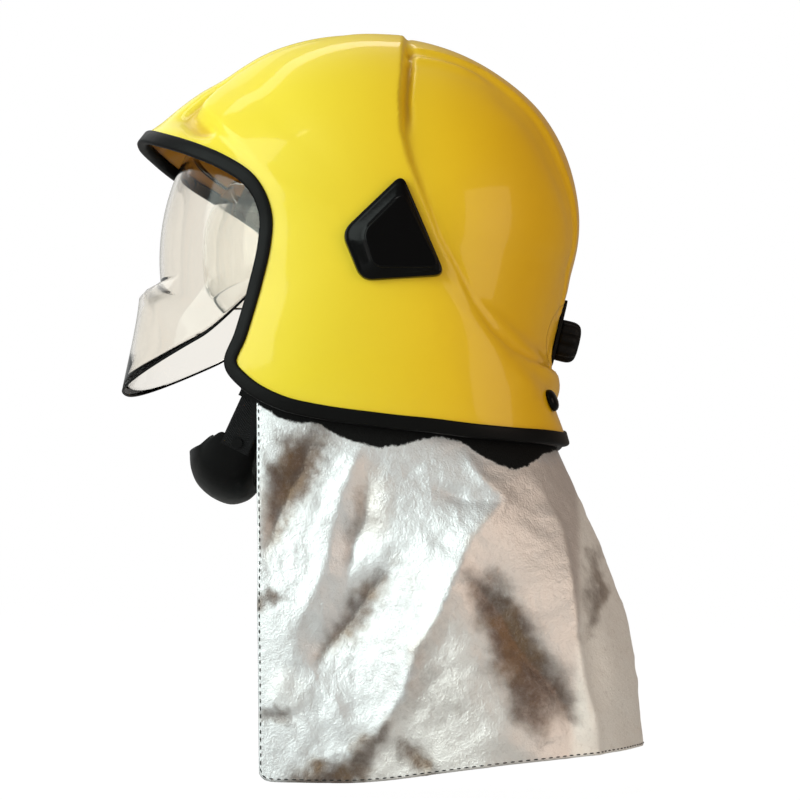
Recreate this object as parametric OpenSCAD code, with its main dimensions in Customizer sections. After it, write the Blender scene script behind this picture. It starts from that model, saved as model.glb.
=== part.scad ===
// Jet-style fire helmet with a face shield, an inner eye shield and a neck curtain.
// Millimetres, +Z up. The helmet faces -Y and its left side is +X.
// The origin is the middle of the headband ring, where the wearer's head sits.

/* [Shell] */
// Room from the headband out to the shell's face at the shield pivots
side_room = 38; // [37:0.5:40]
// Wall of the moulded shell
shell_wall = 3; // [2.6:0.1:3.2]
// Depth of the rear side panels below the crest and the ear ridge
panel_recess = 2.5; // [0.5:0.1:3]
// Height of the front side lobes over the middle band
lobe_rise = 1.4; // [0.2:0.1:2]
// How far the rubber edge trim reaches over the shell
trim_leg = 7; // [6:0.5:8]
// Rubber of the edge trim
trim_thickness = 1.6; // [1.2:0.1:1.8]

/* [Shields] */
// Radius of the face shield about the pivot axis, in the middle plane
face_radius = 148.5; // [147:0.5:149]
// Wall of the face shield
face_wall = 2.5; // [2:0.1:2.8]
// How far the lower front of the face shield stands forward
face_flare = 15; // [10:0.5:18]
// Room from the headband's front out to the eye shield
eye_room = 14; // [12:0.5:16]
// Wall of the eye shield
eye_wall = 2; // [1.6:0.1:2.2]
// Thickness of the shield hinge plates
arm_plate = 2.4; // [2:0.1:2.6]
// Diameter of the pivot journals
journal_d = 12; // [10:0.5:13]
// Radial running clearance of the hinge plates on the journals
pivot_clearance = 0.06; // [0.03:0.01:0.1]

/* [Headgear] */
// Half width of the headband
band_half_width = 80; // [78:0.5:81]
// Half length of the headband
band_half_length = 106; // [104:0.5:107]
// Height of the headband
band_height = 22; // [18:1:26]
// Thickness of the headband
band_wall = 1.6; // [1.2:0.1:2]
// Backward tilt of the headband ring
band_tilt = 24; // [22:0.5:26]
// Width of the cradle webbing
cradle_width = 18; // [14:1:20]
// Thickness of the brow pad
brow_pad_thickness = 6; // [4:0.5:8]

/* [Ratchet] */
// Diameter of the adjusting knob
knob_d = 28; // [24:1:30]
// How far the knob stands out
knob_height = 14; // [10:0.5:16]
// Tooth size of the pinion and the racks
gear_module = 1; // [0.9:0.05:1.1]
// Diameter of the knob shaft
shaft_d = 6; // [5:0.5:7]
// Radial running clearance of the knob shaft
shaft_clearance = 0.06; // [0.03:0.01:0.1]

/* [Chin strap] */
// Width of the chin webbing
webbing_width = 20; // [16:1:22]
// Thickness of the chin webbing
webbing_thickness = 1.6; // [1.2:0.1:2]
// Diameter of the strap posts
post_d = 8; // [6:0.5:9]
// Radial running clearance of the strap tabs on the posts
post_clearance = 0.06; // [0.03:0.01:0.1]
// Half width of the chin cup
cup_half_width = 44; // [40:1:48]

/* [Neck curtain] */
// Length of the curtain below the shell's edge
curtain_drop = 216; // [180:2:240]
// Thickness of the curtain cloth
curtain_cloth = 1.4; // [1.2:0.1:1.8]
// Depth of the curtain's main folds
fold_depth = 7; // [0:0.5:9]

/* [Hidden] */

seat_gap = 0.1;
form_c = [0, 5, 0];
pivot = [0, -2, 0];
shell_half_width = band_half_width + side_room;
eye_radius = band_half_length + eye_room;
side_in = shell_half_width - shell_wall;
side_power = 2.3;

// Middle outline of the shell as [y, z], from the brow over the crown to the nape;
// the points past the nape and below the brow only shape the sides.
outline = [[-165, 78], [-151, 90], [-137, 102], [-124, 111.5], [-110, 119.5], [-97, 128.5],
    [-84, 136.5], [-70, 142.5], [-50, 148], [-25, 151], [0, 150], [25, 146.5], [50, 138.5],
    [77, 123.5], [104, 99.5], [119, 75], [127.5, 48], [130, 25], [128, 5], [122, -14],
    [115, -44], [109, -70], [111, -76], [114, -83], [113, -91], [112.5, -100],
    [116.5, -111.5], [121, -121], [119, -182], [95, -246], [5, -285], [-126, -227],
    [-157, -136], [-155, -71], [-154, -34], [-153, 0], [-153, 25], [-162, 54]];

// Left half of the shell's edge, from the middle of the brow to the middle of the nape
rim_left = [[0, -165, 78], [34, -160, 76], [62, -147, 68.5], [84, -126, 58.5], [97, -105, 47.5],
    [104, -88, 35], [105.5, -79, 18], [105, -79, -4], [103, -85, -30], [100, -93, -58],
    [97, -100, -77], [101, -90, -91.5], [107, -67, -105], [110, -40, -111.5], [111, -5, -116],
    [109, 35, -120], [100, 71, -123.5], [78, 101, -125], [42, 117, -123.5], [0, 121, -121]];
// Left half of the liner's edge, from the forehead to the nape
liner_left = [[0, -60, 125], [45, -54, 108], [74, -34, 74], [88, -8, 46], [98, 18, 26],
    [105, 31, 0], [100, 42, -24], [84, 64, -32], [60, 89, -28], [30, 106, -24], [0, 111, -22]];
// Line of the ear-to-ear ridge, as height and distance back
ridge_line = [[-78, 125], [-74, 91], [-68, 77], [-57, 64], [-39, 51], [-20, 42], [0, 31],
    [22, 23], [48, 13], [68, 8], [90, 7], [150, 12]];

function lerp(a, b, t) = a + (b - a) * t;
function ease(t) = let(s = max(0, min(1, t))) s * s * (3 - 2 * s);
function unit(v) = v / norm(v);
function angle_of(p) = let(a = atan2(p[1], form_c[1] - p[0])) a < -134 ? a + 360 : a;

outline_polar = [for (p = outline) let(a = angle_of(p)) [a, norm([p[0] - form_c[1], p[1]])]];
polar_from_below = concat([for (i = [27:37]) outline_polar[i]], [for (i = [0:26]) outline_polar[i]]);
polar_n = len(polar_from_below);
function polar(i) = let(k = (i + polar_n) % polar_n, w = floor(i / polar_n))
    [polar_from_below[k][0] + 360 * w, polar_from_below[k][1]];
function slope(i) = let(p = polar(i - 1), q = polar(i + 1)) (q[1] - p[1]) / (q[0] - p[0]);
function hermite(a, i) = let(p = polar(i), q = polar(i + 1), h = q[0] - p[0], t = (a - p[0]) / h)
    (1 + 2 * t) * (1 - t) * (1 - t) * p[1] + t * (1 - t) * (1 - t) * h * slope(i)
    + t * t * (3 - 2 * t) * q[1] - t * t * (1 - t) * h * slope(i + 1);
function profile_at(a) = let(b = a < polar(0)[0] ? a + 360 : a,
    i = len([for (p = polar_from_below) if (p[0] <= b) 1]) - 1) hermite(b, i);
// The profile is tabled once a degree and read back between the whole degrees.
profile_degrees = [for (a = [-136:1:230]) [a, profile_at(a)]];
function profile(a) = lookup(a, profile_degrees);

// Distance from the middle of the form to the shell's face along a unit direction
function form_reach(d) = let(a0 = atan2(d[2], -d[1]), a = a0 < -134 ? a0 + 360 : a0,
    r = norm([d[1], d[2]]))
    1 / pow(pow(abs(d[0]) / shell_half_width, side_power) + pow(r / profile(a), side_power),
        1 / side_power);
function gauge(p) = let(v = p - form_c, m = norm(v)) m / form_reach(v / m);
function form_normal(p) = unit([for (e = [[0.5, 0, 0], [0, 0.5, 0], [0, 0, 0.5]])
    gauge(p + e) - gauge(p - e)]);
function ridge_back(p) = p[1] - lookup(p[2], ridge_line);
function relief(p) = let(back = ridge_back(p), x = abs(p[0]))
    -panel_recess * ease(back / 9) * ease((x - 26) / 14)
    + lobe_rise * ease(-back / 9) * ease((x - 36) / 12) * ease((p[1] + 128) / 24)
        * ease((p[2] - 30) / 30);
function form_point(d) = let(p = form_c + d * form_reach(d), n = form_normal(p)) p + n * relief(p);

function spline(p0, p1, p2, p3, t) = 0.5 * (2 * p1 + (p2 - p0) * t
    + (2 * p0 - 5 * p1 + 4 * p2 - p3) * t * t + (3 * p1 - p0 - 3 * p2 + p3) * t * t * t);
function both_sides(half) = concat(half,
    [for (i = [len(half) - 2:-1:1]) [-half[i][0], half[i][1], half[i][2]]]);
function rounded_loop(half, steps) = let(c = both_sides(half), n = len(c))
    [for (i = [0:n - 1], s = [0:steps - 1])
        spline(c[(i + n - 1) % n], c[i], c[(i + 1) % n], c[(i + 2) % n], s / steps)];
function slerp(a, b, t) = let(w = acos(a * b)) (a * sin((1 - t) * w) + b * sin(t * w)) / sin(w);

pole_tilt = 34;
pole = [0, sin(pole_tilt), cos(pole_tilt)];

// The shell's grid: row 0 is the edge, row 1 lies under the trim's end, row 2 over the curtain
// rail, and the other rows close in on the pole.
// Half width of the form that the edge lines are drawn for
drawn_half_width = 118;
function widened(loop) = [for (p = loop) [p[0] * shell_half_width / drawn_half_width, p[1], p[2]]];
rim = widened(rounded_loop(rim_left, 3));
rim_n = len(rim);
rim_points = [for (p = rim) form_point(unit(p - form_c))];
rim_normals = [for (p = rim_points) form_normal(p)];
function inward(i, reach) = let(t = rim_points[(i + 2) % rim_n] - rim_points[(i + rim_n - 2) % rim_n],
    b = unit(cross(rim_normals[i], t))) unit(rim_points[i] + b * reach - form_c);
shell_rows = [0.06, 0.115, 0.175, 0.24, 0.31, 0.39, 0.48, 0.58, 0.69, 0.8, 0.91];
lip_row = [for (i = [0:rim_n - 1]) inward(i, trim_leg)];
shell_dirs = concat([lip_row], [for (t = shell_rows) [for (d = lip_row) slerp(d, pole, t)]]);
shell_out = concat([rim_points], [for (row = shell_dirs) [for (d = row) form_point(d)]]);
shell_normals = [for (row = shell_out) [for (p = row) form_normal(p)]];
function offset_rows(rows, normals, by) = [for (j = [0:len(rows) - 1])
    [for (i = [0:len(rows[j]) - 1]) rows[j][i] + normals[j][i] * by]];
shell_in = offset_rows(shell_out, shell_normals, -shell_wall);
crown_out = form_point(pole);
crown_in = crown_out - form_normal(crown_out) * shell_wall;

// Closed cap from an outer and an inner grid of loops, each closed by one top point
module cap(outer, inner, top_out, top_in) {
    rows = len(outer);
    n = len(outer[0]);
    half = rows * n + 1;
    points = concat([for (r = outer) each r], [top_out], [for (r = inner) each r], [top_in]);
    walls = [for (j = [0:rows - 2], i = [0:n - 1]) let(a = j * n + i, b = j * n + (i + 1) % n)
        each [[a, b + n, b], [a, a + n, b + n], [a + half, b + half, a + n + half],
            [b + half, b + n + half, a + n + half]]];
    last = (rows - 1) * n;
    tops = [for (i = [0:n - 1]) let(a = last + i, b = last + (i + 1) % n)
        each [[a, half - 1, b], [a + half, b + half, 2 * half - 1]]];
    edge = [for (i = [0:n - 1]) let(b = (i + 1) % n)
        each [[i, b + half, i + half], [i, b, b + half]]];
    polyhedron(points = points, faces = concat(walls, tops, edge), convexity = 6);
}

// Closed sheet from a front and a back grid of open rows
module slab(front, back) {
    rows = len(front);
    n = len(front[0]);
    half = rows * n;
    points = concat([for (r = front) each r], [for (r = back) each r]);
    skins = [for (j = [0:rows - 2], i = [0:n - 2]) let(a = j * n + i, b = a + 1)
        each [[a, b, b + n], [a, b + n, a + n], [a + half, b + n + half, b + half],
            [a + half, a + n + half, b + n + half]]];
    ends = [for (i = [0:n - 2]) let(a = i, b = i + 1, c = half - n + i, d = c + 1)
        each [[a, a + half, b + half], [a, b + half, b], [c, d + half, c + half], [c, d, d + half]]];
    sides = [for (j = [0:rows - 2]) let(a = j * n, b = a + n, c = a + n - 1, d = c + n)
        each [[a, b + half, a + half], [a, b, b + half], [c, c + half, d + half], [c, d + half, d]]];
    polyhedron(points = points, faces = concat(skins, ends, sides), convexity = 6);
}

// Solid swept through a list of closed sections, as a ring or with two flat ends
module swept(sections, ring = false) {
    rows = len(sections);
    k = len(sections[0]);
    points = [for (s = sections) each s];
    walls = [for (j = [0:(ring ? rows - 1 : rows - 2)], i = [0:k - 1])
        let(a = j * k + i, b = j * k + (i + 1) % k, c = ((j + 1) % rows) * k + i,
            d = ((j + 1) % rows) * k + (i + 1) % k) each [[a, d, b], [a, c, d]]];
    first = [for (i = [1:k - 2]) [0, i, i + 1]];
    final = [for (i = [1:k - 2]) [rows * k - k, rows * k - k + i + 1, rows * k - k + i]];
    polyhedron(points = points, faces = ring ? walls : concat(walls, first, final), convexity = 6);
}

module outer_shell() {
    color("gold")
    difference() {
        cap(shell_out, shell_in, crown_out, crown_in);
        at_pivots() translate([0, 0, side_in - 6]) cylinder(d = screw_hole, h = 12, $fn = 32);
        at_knob() translate([0, 0, -8]) cylinder(d = sleeve_d + 0.3, h = 14, $fn = 48);
        at_nape_studs() translate([0, 0, -8]) cylinder(d = stud_shank + 0.2, h = 14, $fn = 32);
    }
}

module edge_trim() {
    c = 0.08;
    t = trim_thickness;
    sections = [for (i = [0:rim_n - 1]) let(p0 = shell_out[0][i], p1 = shell_out[1][i],
        q0 = shell_in[0][i], q1 = shell_in[1][i], n0 = shell_normals[0][i],
        n1 = shell_normals[1][i], b = unit(p1 - p0))
        [p1 + n1 * (c + t), p0 + n0 * (c + t) - b * (c + t * 0.6), p0 + n0 * (t * 0.3) - b * (c
            + t * 1.3),
            q0 - n0 * (t * 0.3) - b * (c + t * 1.3), q0 - n0 * (c + t) - b * (c + t * 0.6),
                q1 - n1 * (c + t),
            q1 - n1 * c, q0 - n0 * c - b * c, p0 + n0 * c - b * c, p1 + n1 * c]];
    color("dimgray")
    swept(sections, ring = true);
}

// Side stack at the pivots, as distances from the middle along the lateral axis
face_arm_out = side_in - 9;
face_arm_in = face_arm_out - arm_plate;
face_flat = face_arm_in - 0.05;
eye_arm_out = face_flat - face_wall - 1.25;
eye_arm_in = eye_arm_out - arm_plate;
eye_flat = eye_arm_in - 0.05;
flange_out = eye_arm_in - 0.1;
flange_in = flange_out - 2.5;
bracket_room = 5.6;
plate_in = band_half_width + band_wall + bracket_room;
plate_out = plate_in + 2.4;
tab_out = plate_in - 3.2;
tab_in = tab_out - 2;
screw_d = 5;
screw_hole = 5.3;

rivet_d = 5;

module at_pivots() {
    for (s = [-1, 1]) translate(pivot) rotate([0, s * 90, 0]) children();
}

module pivot_bushes() {
    color("dimgray")
    at_pivots() difference() {
        union() {
            translate([0, 0, flange_in]) cylinder(d = journal_d + 8, h = flange_out - flange_in,
                $fn = 64);
            translate([0, 0, flange_out]) cylinder(d = journal_d, h = side_in - 0.5 - flange_out,
                $fn = 64);
        }
        translate([0, 0, side_in - 13]) cylinder(d = screw_d + 0.04, h = 14, $fn = 32);
        translate([0, 0, flange_in - 1]) cylinder(d = 4.04, h = 6, $fn = 32);
    }
}

module ring(inner, outer, from, to) {
    translate([0, 0, from]) difference() {
        cylinder(d = outer, h = to - from, $fn = 64);
        translate([0, 0, -1]) cylinder(d = inner, h = to - from + 2, $fn = 64);
    }
}

module outer_spacers() {
    color("silver")
    at_pivots() ring(journal_d + 0.1, journal_d + 12, face_arm_out + seat_gap, side_in - 0.9);
}

module inner_spacers() {
    color("silver")
    at_pivots() ring(journal_d + 0.1, journal_d + 12, eye_arm_out + seat_gap, face_arm_in - seat_gap);
}

module pivot_screws() {
    color("silver")
    at_pivots() {
        translate([0, 0, side_in - 12]) cylinder(d = screw_d, h = shell_wall + 12.1, $fn = 32);
        translate([0, 0, shell_half_width + 0.1]) difference() {
            cylinder(d = 9.5, h = 3, $fn = 48);
            translate([0, 0, 1.4]) cylinder(d = 4.6, h = 2, $fn = 6);
        }
    }
}

// Hinge plate of a shield, in the plane across the pivot axis; +Y of the plate is up.
module hinge_plate(from, thick, width, rivet_at, bore) {
    arm_reach = rivet_at[1] + 3;
    translate([0, 0, from]) linear_extrude(thick) difference() {
        union() {
            circle(d = journal_d + 16, $fn = 72);
            translate([-arm_reach, -width / 2]) square([arm_reach, width]);
            translate([-arm_reach, 0]) circle(d = width, $fn = 64);
        }
        circle(d = bore, $fn = 72);
        for (r = rivet_at) translate([-r, 0]) circle(d = rivet_d + 0.1, $fn = 32);
    }
}
face_rivets = [32, 46];
eye_rivets = [28, 38];
// Turns a plate drawn in X (back) and Y (up) into the plane across the pivot axis
module on_side(s) {
    translate(pivot) multmatrix([[0, 0, s, 0], [1, 0, 0, 0], [0, 1, 0, 0], [0, 0, 0, 1]]) children();
}
module arm_pair(side, from, width, rivets) {
    on_side(side) hinge_plate(from, arm_plate, width, rivets, journal_d + 2 * pivot_clearance);
}
module face_arm_left() {
    color("dimgray")
    arm_pair(1, face_arm_in, 24, face_rivets);
}
module face_arm_right() {
    color("dimgray")
    arm_pair(-1, face_arm_in, 24, face_rivets);
}
module eye_arm_left() {
    color("gray")
    arm_pair(1, eye_arm_in, 20, eye_rivets);
}
module eye_arm_right() {
    color("gray")
    arm_pair(-1, eye_arm_in, 20, eye_rivets);
}

// Shields: bands turned about the pivot axis, closing in towards the pivots
shield_power = 2.6;
face_side = face_flat + 2.4;
eye_side = eye_flat + 4.2;
function band_point(radius, half, flat, lean, turn) = let(r = radius * pow(cos(lean), 2 / shield_power),
    x = half * pow(abs(sin(lean)), 2 / shield_power))
    [sign(lean) * min(x, flat), pivot[1] - r * cos(turn), r * sin(turn)];
function lean_at(r, radius) = acos(pow(r / radius, shield_power / 2));
// Front line of the face shield: a true arc above, then a ledge and a flared lower front
function face_front(turn) = turn > -4.6 ? face_radius
    : let(ledge = face_radius + (face_flare - 1) * ease((-4.6 - turn) / 2.4))
    ledge + 0.45 * max(0, -7 - turn) + 0.055 * pow(max(0, -7 - turn), 2);
function face_reach(lean, turn) = lerp(face_front(turn), face_radius, ease((abs(lean) - 50) / 28));
function face_top(r) = r < 57 ? asin(min(1, 13 / r)) : 13.2 + 16.8 * ease((r - 57) / 50);
function face_low(r) = r < 57 ? -asin(min(1, 13 / r)) : -13.2 - 14 * ease((r - 57) / 44);
face_turns = [1, 0.86, 0.72, 0.58, 0.47, 0.4, 0.355, 0.28, 0.19, 0.1, 0];
shield_end = 24;
face_lean_end = lean_at(shield_end, face_radius);
face_leans = [for (i = [-16:16]) face_lean_end * (abs(i) < 13 ? i / 16.8 : sign(i) * (0.714
    + (abs(i) - 12) * 0.0715))];
function face_row(k, inset) = [for (l = face_leans) let(r0 = face_radius * pow(cos(l),
    2 / shield_power),
    turn = lerp(face_low(r0), face_top(r0), k))
    band_point(face_reach(l, turn) - inset, face_side - inset, face_flat - inset, l, turn)];

module face_shield() {
    color([0.85, 0.83, 0.75])
    difference() {
        slab([for (k = face_turns) face_row(k, 0)], [for (k = face_turns) face_row(k, face_wall)]);
        for (s = [-1, 1], r = face_rivets) on_side(s) translate([-r, 0, face_flat - face_wall - 1])
            cylinder(d = rivet_d + 0.1, h = face_wall + 2, $fn = 32);
    }
}

module face_shield_edge() {
    rows = [for (l = face_leans) if (abs(l) < lean_at(62, face_radius)) let(
        r0 = face_radius * pow(cos(l), 2 / shield_power), turn = face_low(r0),
        o = band_point(face_reach(l, turn), face_side, face_flat, l, turn),
        i = band_point(face_reach(l, turn) - face_wall, face_side - face_wall,
            face_flat - face_wall, l, turn),
        n = unit(o - i), d = [0, -sin(turn), -cos(turn)])
        [o + n * 0.5 + d * 2.8, i - n * 0.5 + d * 2.8, i - n * 0.5 + d * 0.06, o + n * 0.5 + d * 0.06]];
    color("black")
    swept(rows);
}

module face_rivet_set() {
    color("silver")
    for (s = [-1, 1], r = face_rivets) on_side(s) translate([-r, 0, 0]) {
        translate([0, 0, face_flat - face_wall]) cylinder(d = rivet_d,
            h = face_arm_out - face_flat + face_wall + 0.05, $fn = 32);
        translate([0, 0, face_arm_out + 0.05]) cylinder(d = 9, h = 1.3, $fn = 48);
    }
}

function eye_front(turn) = eye_radius - 7 * ease((turn - 10) / 20) - 5 * ease((-9 - turn) / 6);
function eye_top(r) = r < 55 ? asin(min(1, 11 / r)) : 11.5 + 14.5 * ease((r - 55) / 40);
function eye_low(r) = r < 55 ? -asin(min(1, 11 / r)) : -11.5 - 2.5 * ease((r - 55) / 40);
eye_turns = [1, 0.85, 0.68, 0.5, 0.34, 0.18, 0.08, 0];
eye_lean_end = lean_at(22, eye_radius);
eye_leans = [for (i = [-14:14]) eye_lean_end * i / 14];
function eye_row(k, inset) = [for (l = eye_leans) let(r0 = eye_radius * pow(cos(l), 2 / shield_power),
    turn = lerp(eye_low(r0), eye_top(r0), k))
    band_point(eye_front(turn) - inset, eye_side - inset, eye_flat - inset, l, turn)];

module eye_shield() {
    color([0.8, 0.75, 0.6])
    difference() {
        slab([for (k = eye_turns) eye_row(k, 0)], [for (k = eye_turns) eye_row(k, eye_wall)]);
        for (s = [-1, 1], r = eye_rivets) on_side(s) translate([-r, 0, eye_flat - eye_wall - 1])
            cylinder(d = rivet_d + 0.1, h = eye_wall + 2, $fn = 32);
    }
}

module eye_rivet_set() {
    color("silver")
    for (s = [-1, 1], r = eye_rivets) on_side(s) translate([-r, 0, 0]) {
        translate([0, 0, eye_flat - eye_wall - 0.05]) cylinder(d = rivet_d,
            h = eye_arm_out - eye_flat + eye_wall + 0.05, $fn = 32);
        translate([0, 0, eye_flat - eye_wall - 1.25]) cylinder(d = 8, h = 1.2, $fn = 48);
    }
}

// Side covers over the pivots
cover_base = [[9, 39], [36, -25], [-16.5, -28.5], [-29, 2]];
cover_face = [[9, 25], [31.5, -20.5], [-8.5, -20.5], [-15, 1]];
cover_height = 9;
function side_x(y, z) = let(a = angle_of([y, z]), q = norm([y - form_c[1], z]) / profile(a),
    x = shell_half_width * pow(1 - pow(q, side_power), 1 / side_power)) x + max(0, relief([x, y, z]));
function rounded(corners, r, steps) = let(n = len(corners)) [for (i = [0:n - 1]) let(
    c = corners[i], p = c + r * unit(corners[(i + n - 1) % n] - c), q = c + r * unit(corners[(i
        + 1) % n] - c),
    d = corners[(i + 1) % n], e = d + r * unit(c - d))
    each concat([for (k = [0:steps]) let(t = k / steps) (1 - t) * (1 - t) * p
        + 2 * t * (1 - t) * c + t * t * q],
        [for (k = [1:3]) lerp(q, e, k / 4)])];
function inset_loop(pts, by) = let(m = [for (p = pts) 1] * pts / len(pts)) [for (p = pts) p
    + unit(m - p) * by];
module side_cover(s) {
    base = rounded(cover_base, 8, 4);
    top = rounded(cover_face, 6, 4);
    lift = shell_half_width + cover_height;
    function seat(loop) = [for (p = loop) [s * (side_x(p[0], p[1]) + 0.45), p[0], p[1]]];
    function level(loop, x) = [for (p = loop) [s * x, p[0], p[1]]];
    function turned(loop) = s > 0 ? [for (i = [len(loop) - 1:-1:0]) loop[i]] : loop;
    mid = inset_loop(base, 0.8);
    walls = [for (r = [seat(base), level(mid, shell_half_width + 3.5), level(inset_loop(top, -0.8),
        lift - 0.5),
        level(inset_loop(top, 0.6), lift)]) turned(r)];
    hollow = [for (r = [seat(inset_loop(base, 2.4)), level(inset_loop(base, 3.4),
        shell_half_width + 2.2),
        level(inset_loop(top, 1.4), lift - 2.3), level(inset_loop(top, 3), lift - 2.4)]) turned(r)];
    middle = [for (p = top) 1] * top / len(top);
    cap(walls, hollow, [s * lift, middle[0], middle[1]], [s * (lift - 2.4), middle[0], middle[1]]);
}
module side_cover_left() {
    color("black")
    side_cover(1);
}
module side_cover_right() {
    color("black")
    side_cover(-1);
}

// Impact liner
room_gap = [7, 4, 14];
head_room = [band_half_width + room_gap[0], band_half_length + room_gap[1],
    band_half_length + room_gap[2]];
room_power = 2.8;
function liner_gap(a) = lerp(17, shell_wall + panel_recess + 1.8, ease((a - 80) / 35));
liner_side = 26;
function liner_half(a) = lerp(shell_half_width - liner_side,
    shell_half_width - shell_wall - panel_recess - 1.8,
    ease((a - 75) / 40));
function liner_reach(d) = let(a0 = atan2(d[2], -d[1]), a = a0 < -134 ? a0 + 360 : a0,
    r = norm([d[1], d[2]])) 1 / pow(pow(abs(d[0]) / liner_half(a), side_power)
        + pow(r / (profile(a) - liner_gap(a)), side_power), 1 / side_power);
function room_reach(d) = 1 / pow(pow(abs(d[0]) / head_room[0], room_power)
    + pow(abs(d[1]) / head_room[1], room_power) + pow(abs(d[2]) / head_room[2], room_power),
        1 / room_power);
liner_rim = [for (p = widened(rounded_loop(liner_left, 3))) unit(p - form_c)];
liner_dirs = [for (j = [0:8]) [for (d = liner_rim) j == 0 ? d : slerp(d, pole, j / 9)]];
module impact_liner() {
    color("dimgray")
    cap([for (row = liner_dirs) [for (d = row) form_c + d * liner_reach(d)]],
        [for (row = liner_dirs) [for (d = row) form_c + d * room_reach(d)]],
        form_c + pole * liner_reach(pole), form_c + pole * room_reach(pole));
}

// Headgear, drawn in the tilted plane of the headband
module in_band() {
    rotate([-band_tilt, 0, 0]) children();
}
function band_power(t) = t > 90 || t < -90 ? 3 : 2;
// Point of the band's loop: 0 is the forehead, positive to the left, out is the distance outward
function band_at(t, out) = let(m = band_power(t))
    [sign(t) * (band_half_width + out) * pow(abs(sin(t)), 2 / m),
        -sign(cos(t)) * (band_half_length + out) * pow(abs(cos(t)), 2 / m)];
band_end = 162;
socket_x = 33;
module headband() {
    color("dimgray")
    difference() {
        union() {
            in_band() translate([0, 0, -band_height / 2]) linear_extrude(band_height)
                polygon(concat([for (t = [-band_end:7:band_end]) band_at(t, band_wall)],
                    [for (t = [band_end:-7:-band_end]) band_at(t, 0)]));
            for (s = [-1, 1]) at_knob() translate([s > 0 ? socket_x : -socket_x - 20, -13.5,
                rack_z - 4])
                cube([20, 27, 8]);
        }
        at_knob() rack_way(1, 0.25);
        at_knob() rack_way(-1, 0.25);
        at_pivots() translate([0, 0, band_half_width - 20]) cylinder(d = 4.3, h = 30, $fn = 32);
        in_band() for (t = cradle_ends) at_band(t, strap_clear) translate([0, 0, -8])
            cylinder(d = 3.2, h = 9, $fn = 32);
    }
}

module brow_pad() {
    function fill(t) = ease((66 - abs(t)) / 10);
    sections = [for (t = [-66:6:66]) let(f = fill(t), h = (band_height / 2 - 1) * (0.6 + 0.4 * f),
        w = 0.8 + (brow_pad_thickness - 0.8) * f, a = band_at(t, -0.3), b = band_at(t, -0.3 - w),
        m = band_at(t, -0.3 - w * 0.72))
        [[a[0], a[1], -h], [m[0], m[1], -h * 1.04], [b[0], b[1], -h * 0.55], [b[0], b[1], h * 0.55],
            [m[0], m[1], h * 1.04], [a[0], a[1], h]]];
    color("saddlebrown")
    in_band() swept(sections);
}

// Webbing straps of the cradle, each an arch over the head from band to band
strap_clear = band_wall + 1.5;
cradle_foot = 12;
function band_run(t) = unit(band_at(t + 3, strap_clear) - band_at(t - 3, strap_clear));
module cradle_strap(from, to, crown, fall = 0) {
    w = cradle_width / 2;
    a = band_at(from, strap_clear);
    b = band_at(to, strap_clear);
    over = unit([a[1] - b[1], b[0] - a[0]]);
    function run(t) = let(e = t < 90 ? band_run(from) : band_run(to), f = e * over < 0 ? -e : e,
        g = unit(lerp(f, over, ease(sin(t) * 1.4)))) unit([g[0], g[1], -fall * g[1] * sin(t)]);
    sections = [for (k = [-10:10:190]) let(t = max(0, min(180, k)),
        z = k < 0 || k > 180 ? -7 : cradle_foot + (crown - cradle_foot) * sin(t),
        m = lerp(a, b, (1 - cos(t)) / 2), c = [m[0], m[1], z],
        go = unit([(b[0] - a[0]) * sin(t) / 2, (b[1] - a[1]) * sin(t) / 2, crown * cos(t)]),
        side = run(t), n = unit(cross(go, side)))
        [c - side * w - n * 0.7, c + side * w - n * 0.7, c + side * w + n * 0.7, c - side * w
            + n * 0.7]];
    color("gray")
    in_band() difference() {
        swept(sections);
        for (t = [from, to]) at_band(t, strap_clear) translate([0, 0, -3]) cylinder(d = 3.2, h = 6,
            $fn = 32);
    }
}
// Frame on the band's outside: Z points outward, away from the head
module at_band(t, out) {
    p = band_at(t, out);
    r = band_run(t);
    multmatrix([[0, r[0], r[1], p[0]], [0, r[1], -r[0], p[1]], [1, 0, 0, 0], [0, 0, 0, 1]]) children();
}
cradle_ends = [102, -102, 38, -38, 134, -134];
cross_crown = band_half_length - 2.5;
left_crown = cross_crown + 6.5;
right_crown = left_crown + 3.8;
module cradle_strap_cross() {
    cradle_strap(cradle_ends[0], cradle_ends[1], cross_crown, 0.3);
}
module cradle_strap_left() {
    cradle_strap(cradle_ends[2], cradle_ends[5], left_crown);
}
module cradle_strap_right() {
    cradle_strap(cradle_ends[3], cradle_ends[4], right_crown);
}

module cradle_rivets() {
    color("silver")
    in_band() for (t = cradle_ends) at_band(t, strap_clear) let(r = band_run(t),
        depth = (band_at(t, strap_clear) - band_at(t, 0)) * [r[1], -r[0]]) {
        translate([0, 0, -depth]) cylinder(d = 3, h = depth + 1, $fn = 32);
        translate([0, 0, 0.85]) cylinder(d = 6, h = 1, $fn = 48);
    }
}

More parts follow.
